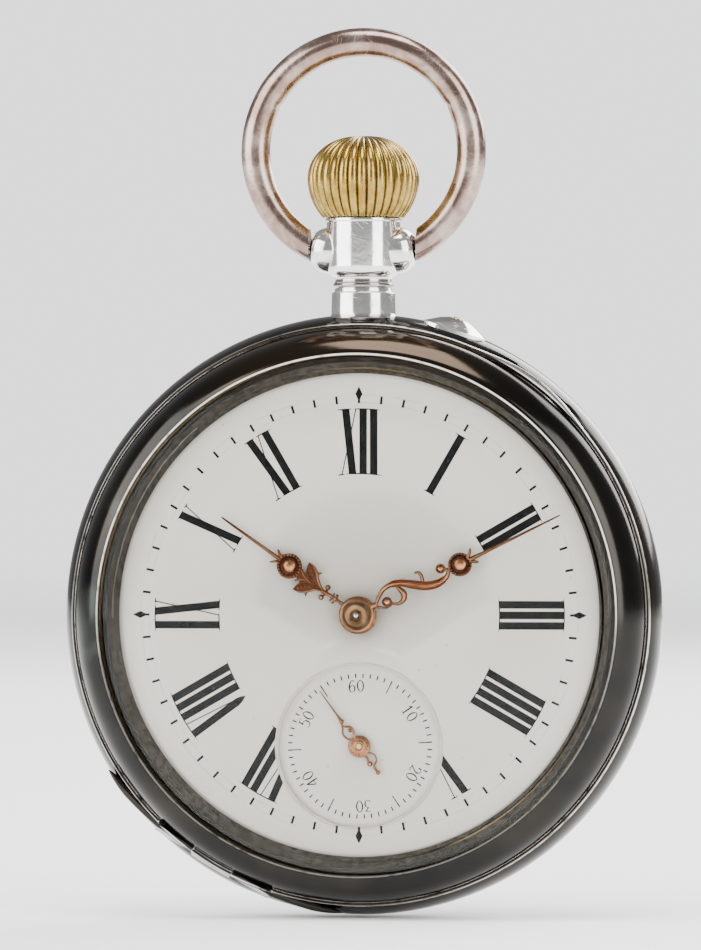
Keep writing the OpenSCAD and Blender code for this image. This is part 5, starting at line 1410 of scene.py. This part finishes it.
def make_minute_hand(gilt):
    h = Hand(63.8, MINUTE_BASE)
    h.ring(0, 0, [(0.9, 0), (1.42, 0), (1.48, 0.05), (1.48, 0.18), (1.4, 0.25), (0.9, 0.25)])
    h.stroke([(1.3, 0.1, 0.3, 0.18), (1.6, 0.1, 0.26, 0.2), (1.9, 0.08, 0.2, 0.18)])
    scroll = [(1.75, 0.05, 0.12, 0.15), (1.95, 0.22, 0.14, 0.18), (2.32, 0.58, 0.17, 0.22), (2.98, 0.97, 0.2, 0.25),
              (3.73, 1.03, 0.24, 0.26), (4.55, 0.74, 0.30, 0.24), (5.37, 0.20, 0.37, 0.22), (6.16, -0.30, 0.38, 0.22),
              (7.07, -0.58, 0.32, 0.23), (7.94, -0.5, 0.22, 0.22), (8.42, -0.15, 0.17, 0.22), (8.6, 0.2, 0.13, 0.16)]
    h.stroke(scroll, sides=13)
    spine = smooth_path(scroll, 8)
    thick = spine[(spine[:, 0] > 3.7) & (spine[:, 0] < 7.9)]
    for side in (-1, 1):
        edge = thick.copy()
        edge[:, 1] += side * edge[:, 2] * 0.86
        edge[:, 2:] = 0.085, 0.22
        h.stroke(edge[::3], 3, 7)
    for i in range(2, len(thick) - 2, 2):
        (u0, v0, _, _), (u1, v1, w1, _) = thick[i], thick[min(i + 3, len(thick) - 1)]
        for side in (-1, 1):
            h.stroke([(u0, v0, 0.05, 0.29), ((u0 + u1) / 2, (v0 + v1) / 2 + side * w1 * 0.4, 0.06, 0.29),
                      (u1, v1 + side * w1 * 0.7, 0.03, 0.22)], 3, 5)
    h.dome(7.94, 0.42, 0.41, 0.36)
    h.stroke([(8.3, -0.28, 0.12, 0.18), (8.35, 0.1, 0.12, 0.2), (8.2, 0.36, 0.13, 0.2)])
    h.stroke([(6.16, 0.1, 0.16, 0.16), (6.24, 0.5, 0.15, 0.2), (6.22, 0.82, 0.15, 0.2), (6.04, 1.0, 0.11, 0.18),
              (5.84, 1.03, 0.08, 0.14)])
    h.stroke([(4.0, 0.72, 0.1, 0.16), (4.16, 0.36, 0.2, 0.22), (4.3, -0.1, 0.27, 0.25), (4.1, -0.5, 0.24, 0.24),
              (3.62, -0.66, 0.16, 0.2), (3.2, -0.5, 0.13, 0.18), (3.0, -0.3, 0.12, 0.16)])
    h.dome(2.74, -0.1, 0.42, 0.34)
    h.stroke([(1.7, 0.0, 0.12, 0.15), (2.05, -0.28, 0.12, 0.18), (2.5, -0.54, 0.1, 0.18), (3.0, -0.5, 0.07, 0.14)])
    h.boss(9.55, 0.98, 0.68)
    h.stroke([(10.3, 0.15, 0.12, 0.15), (10.6, 0.4, 0.13, 0.18), (10.8, 0.66, 0.11, 0.16), (10.9, 0.86, 0.03, 0.06)])
    h.stroke([(10.35, -0.12, 0.13, 0.15), (10.65, -0.26, 0.14, 0.18), (10.9, -0.42, 0.12, 0.16),
              (11.02, -0.5, 0.04, 0.06)])
    h.dome(10.45, 0.36, 0.13, 0.2)
    h.stroke([(10.4, 0, 0.2, 0.17), (12.0, 0, 0.15, 0.15), (15.0, 0, 0.11, 0.12), (18.4, 0, 0.06, 0.07),
              (18.8, 0, 0.02, 0.03)])
    piece("minute_hand_relief", joined(*h.parts), gilt, "centre", ["minute_hand"], crease=50)
    h.beads("minute_hand_beads", 9.55, 22, 0.88, 0.115, 0.14, gilt, "centre")


def make_seconds_hand(gilt):
    h = Hand(324.3, SECONDS_BASE, SECONDS_CENTRE)
    h.ring(0, 0, [(0.1, 0), (0.92, 0), (0.92, 0.12), (0.86, 0.17), (0.5, 0.17), (0.5, 0.28), (0.42, 0.33), (0.3, 0.3),
                  (0.17, 0.18), (0.1, 0.12)])
    h.stroke([(0.75, 0.14, 0.1, 0.12), (1.1, 0.45, 0.09, 0.14), (1.6, 0.52, 0.09, 0.15), (2.1, 0.22, 0.09, 0.15),
              (2.6, -0.02, 0.12, 0.16)])
    h.stroke([(0.8, -0.12, 0.1, 0.12), (1.05, -0.22, 0.11, 0.15), (1.4, -0.36, 0.1, 0.15), (1.75, -0.3, 0.1, 0.15),
              (2.1, 0.1, 0.08, 0.15), (2.45, 0.16, 0.07, 0.1)])
    h.dome(1.52, -0.16, 0.19, 0.2, 0.06, 20)
    h.dome(2.55, 0, 0.21, 0.2, 0.06, 20)
    h.stroke([(2.4, 0, 0.17, 0.14), (3.2, 0, 0.1, 0.12), (4.6, 0, 0.055, 0.08), (5.5, 0, 0.035, 0.05),
              (5.7, 0, 0.015, 0.02)])
    h.stroke([(-0.8, 0.16, 0.1, 0.12), (-1.1, 0.02, 0.11, 0.15), (-1.5, 0.12, 0.1, 0.15), (-1.9, 0.22, 0.1, 0.14)])
    h.stroke([(-0.8, -0.25, 0.08, 0.12), (-1.25, -0.6, 0.08, 0.14), (-1.75, -0.52, 0.08, 0.14), (-2.0, -0.1, 0.1, 0.15),
              (-2.2, 0.0, 0.12, 0.15), (-2.55, -0.02, 0.1, 0.14)])
    h.dome(-1.68, 0.12, 0.23, 0.2, 0.06, 20)
    h.dome(-2.66, -0.02, 0.2, 0.2, 0.06, 20)
    piece("seconds_hand_relief", joined(*h.parts), gilt, "fourth", ["seconds_hand"], crease=50)
    h.beads("seconds_hand_beads", 0, 16, 0.7, 0.085, 0.16, gilt, "fourth")


def make_hub(brass, steel):
    """The cap over the hands' hub with the steel point in its middle."""
    cap = turned(softened([(0, 11.6, 0), (1.26, 11.6, 0.02), (1.26, 11.78, 0.06), (1.1, 11.98, 0.12), (0.86, 12.1, 0.2),
                           (0.44, 12.02, 0.1), (0.36, 11.94, 0.03), (0, 11.9, 0)]), 80)
    piece("hub_cap", cap, brass, "centre", ["hand_cap"], crease=40)
    dot = [(0, 11.8), (0.3, 11.8), (0.3, 12.1)] + [(0.3 * math.cos(a), 12.1 + 0.18 * math.sin(a))
                                                   for a in np.linspace(0.2, math.pi / 2, 8)]
    piece("hub_dot", turned(dot, 40), steel, "centre")


# ---------------------------------------------------------------- the parts kept from the movement

def dress_movement():
    """Finishes for the pieces whose own shape is kept."""
    gilt, steel, hub, red = frosted_gilt(), plain_steel("polished_steel"), wheel_brass("motion_brass"), ruby()
    dark = plain_steel("pallet_steel", (0.42, 0.43, 0.46), 0.16)
    blue = plain_steel("blued_steel", (0.05, 0.09, 0.32), 0.2)
    barrel = (-7.58, 6.36)
    finishes = {
        "main_plate": gilt, "barrel_bridge": gilt, "train_bridge": gilt, "balance_cock": gilt, "pallet_cock": gilt,
        "barrel": wheel_brass("barrel_brass", *barrel), "barrel_lid": wheel_brass("lid_brass", *barrel),
        "centre_wheel": hub, "hour_wheel": hub, "minute_wheel": wheel_brass("minute_wheel_brass", 0, 3.75),
        "third_wheel": wheel_brass("third_brass", 4.38, -6.27),
        "fourth_wheel": wheel_brass("fourth_brass", *SECONDS_CENTRE),
        "escape_wheel": wheel_brass("escape_brass", -4.53, -14.02),
        "balance_wheel": wheel_brass("balance_brass", -10.6, -9.6),
        "ratchet_wheel": snailed_steel("ratchet_snail", *barrel),
        "crown_wheel": snailed_steel("crown_wheel_snail", 0, 13.55),
        "pallet_fork": dark, "click_spring": dark, "balance_staff": dark, "jewels": red,
        "hairspring": blue, "mainspring": blue, "dial_screws": blue, "case_screws": blue, "bridge_screws": blue,
        "ratchet_screw": blue, "dial_feet": plain_steel("copper_feet", (0.72, 0.38, 0.24), 0.35),
        "set_pin_spring": dark,
    }
    return finishes, steel


def finish_kept(replaced):
    """Gives every kept piece of the movement its finish."""
    finishes, steel = dress_movement()
    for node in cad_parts:
        kept = bpy.data.objects.get(node)
        if kept is None or node in replaced or kept.type != "MESH":
            continue
        kept.data.materials.clear()
        kept.data.materials.append(finishes.get(node, steel))


# ---------------------------------------------------------------- the studio

# How bright the backdrop looks, and how bright the room is that the metal mirrors
BACKDROP, ROOM = 2.0, 0.45
AIR_TONE = (0.95, 0.955, 0.96)
LIT_PLACE = Vector((0, 0, 0.01))
CAMERA_AIM, CAMERA_TURN, CAMERA_AWAY = Vector((-0.00109, -0.0069, 0.0116)), 7.07, 0.5718
LENS, SENSOR = 260, 36
FLOOR_Z, FLOOR_SPAN = -0.0252, 6.0


def soft_light(name, place, size, power, tall=None):
    """A soft box that faces the watch."""
    light = bpy.data.lights.new(name, "AREA")
    light.shape, light.size, light.energy = "RECTANGLE", size, power
    light.size_y = tall or size
    lamp = bpy.data.objects.new(name, light)
    lamp.location = place
    lamp.rotation_euler = (LIT_PLACE - Vector(place)).to_track_quat("-Z", "Y").to_euler()
    bpy.context.scene.collection.objects.link(lamp)


def studio():
    """The camera, the floor, the pale air round it all and the soft boxes."""
    a = math.radians(CAMERA_TURN)
    camera_data = bpy.data.cameras.new("camera")
    camera_data.lens, camera_data.sensor_width, camera_data.sensor_height = LENS, SENSOR, SENSOR
    camera_data.sensor_fit = "VERTICAL"
    camera_data.clip_start, camera_data.clip_end = 0.01, 50
    camera = bpy.data.objects.new("camera", camera_data)
    back = Vector((math.sin(a), -math.cos(a), 0))
    camera.location = CAMERA_AIM + back * CAMERA_AWAY
    camera.rotation_euler = (-back).to_track_quat("-Z", "Y").to_euler()
    bpy.context.scene.collection.objects.link(camera)
    bpy.context.scene.camera = camera

    floor_mesh = bpy.data.meshes.new("floor")
    corners = [(x * FLOOR_SPAN, y * FLOOR_SPAN, FLOOR_Z) for x, y in ((-1, -1), (1, -1), (1, 1), (-1, 1))]
    floor_mesh.from_pydata(corners, [], [(0, 1, 2, 3)])
    floor_mesh.materials.append(floor_paper())
    floor = bpy.data.objects.new("floor", floor_mesh)
    bpy.context.scene.collection.objects.link(floor)

    world = bpy.data.worlds.new("studio")
    world.use_nodes = True
    air = Tree(world.node_tree)
    world.node_tree.nodes.clear()
    mirrored = air.add("ShaderNodeLightPath", out="Is Glossy Ray")
    strength = mirrored * (ROOM - BACKDROP) + BACKDROP
    air.add("ShaderNodeOutputWorld", None, [air.add("ShaderNodeBackground", None, [(*AIR_TONE, 1), strength])])
    bpy.context.scene.world = world
    soft_light("left_box", (-0.69, -0.42, 0.25), 0.8, 15, 0.9)
    soft_light("right_box", (0.64, -0.50, 0.25), 0.5, 9, 0.9)
    soft_light("top_box", (0.05, -0.15, 0.75), 0.4, 5)
    soft_light("back_box", (0.35, 0.6, 0.4), 0.6, 10)


# ---------------------------------------------------------------- the watch

band_silver = tarnished_silver("band_silver", ring_wear((24.13, 0.09), (25.0, 0.03)))
lid_silver = tarnished_silver("lid_silver", ring_wear((24.2, 0.12)))
make_band(band_silver)
ring_silver = bezel_silver()
make_bezel(ring_silver)
make_crystal(clear_glass(), bevel_glass())
make_back(lid_silver)
make_cuvette(cuvette_metal())
pale = bright_silver()
make_pendant(pale, plain_steel("pivot_steel"))
make_bow(rose_silver())
make_crown(crown_brass())
make_guard(pale, plain_steel("pin_brass", (0.80, 0.66, 0.30), 0.25))
white = enamel("dial_white", (0.87, 0.815, 0.745))
make_dial(white, faint_print("dial_edge", (0.50, 0.42, 0.32)))
black = black_print()
make_print(black, faint_print("hairline_print", (0.55, 0.48, 0.42)))
make_seconds_print(black, faint_print("seconds_hairline", (0.55, 0.55, 0.60)))
make_hour_hand(rose_gold("hour_rose", HOUR_BASE + 0.12, HOUR_BASE + 0.3))
make_minute_hand(rose_gold("minute_rose", MINUTE_BASE + 0.1, MINUTE_BASE + 0.34))
make_seconds_hand(rose_gold("seconds_rose", SECONDS_BASE + 0.08, SECONDS_BASE + 0.2))
make_hub(hub_brass(), plain_steel("hub_steel", (0.7, 0.71, 0.73), 0.12))
finish_kept({"case_middle", "bow_screws", "bezel", "crystal", "back_cover", "cuvette", "pendant", "bow", "crown",
             "set_pin_guard", "set_pin", "dial", "seconds_dial", "hour_hand", "minute_hand", "seconds_hand",
             "hand_cap"})
studio()
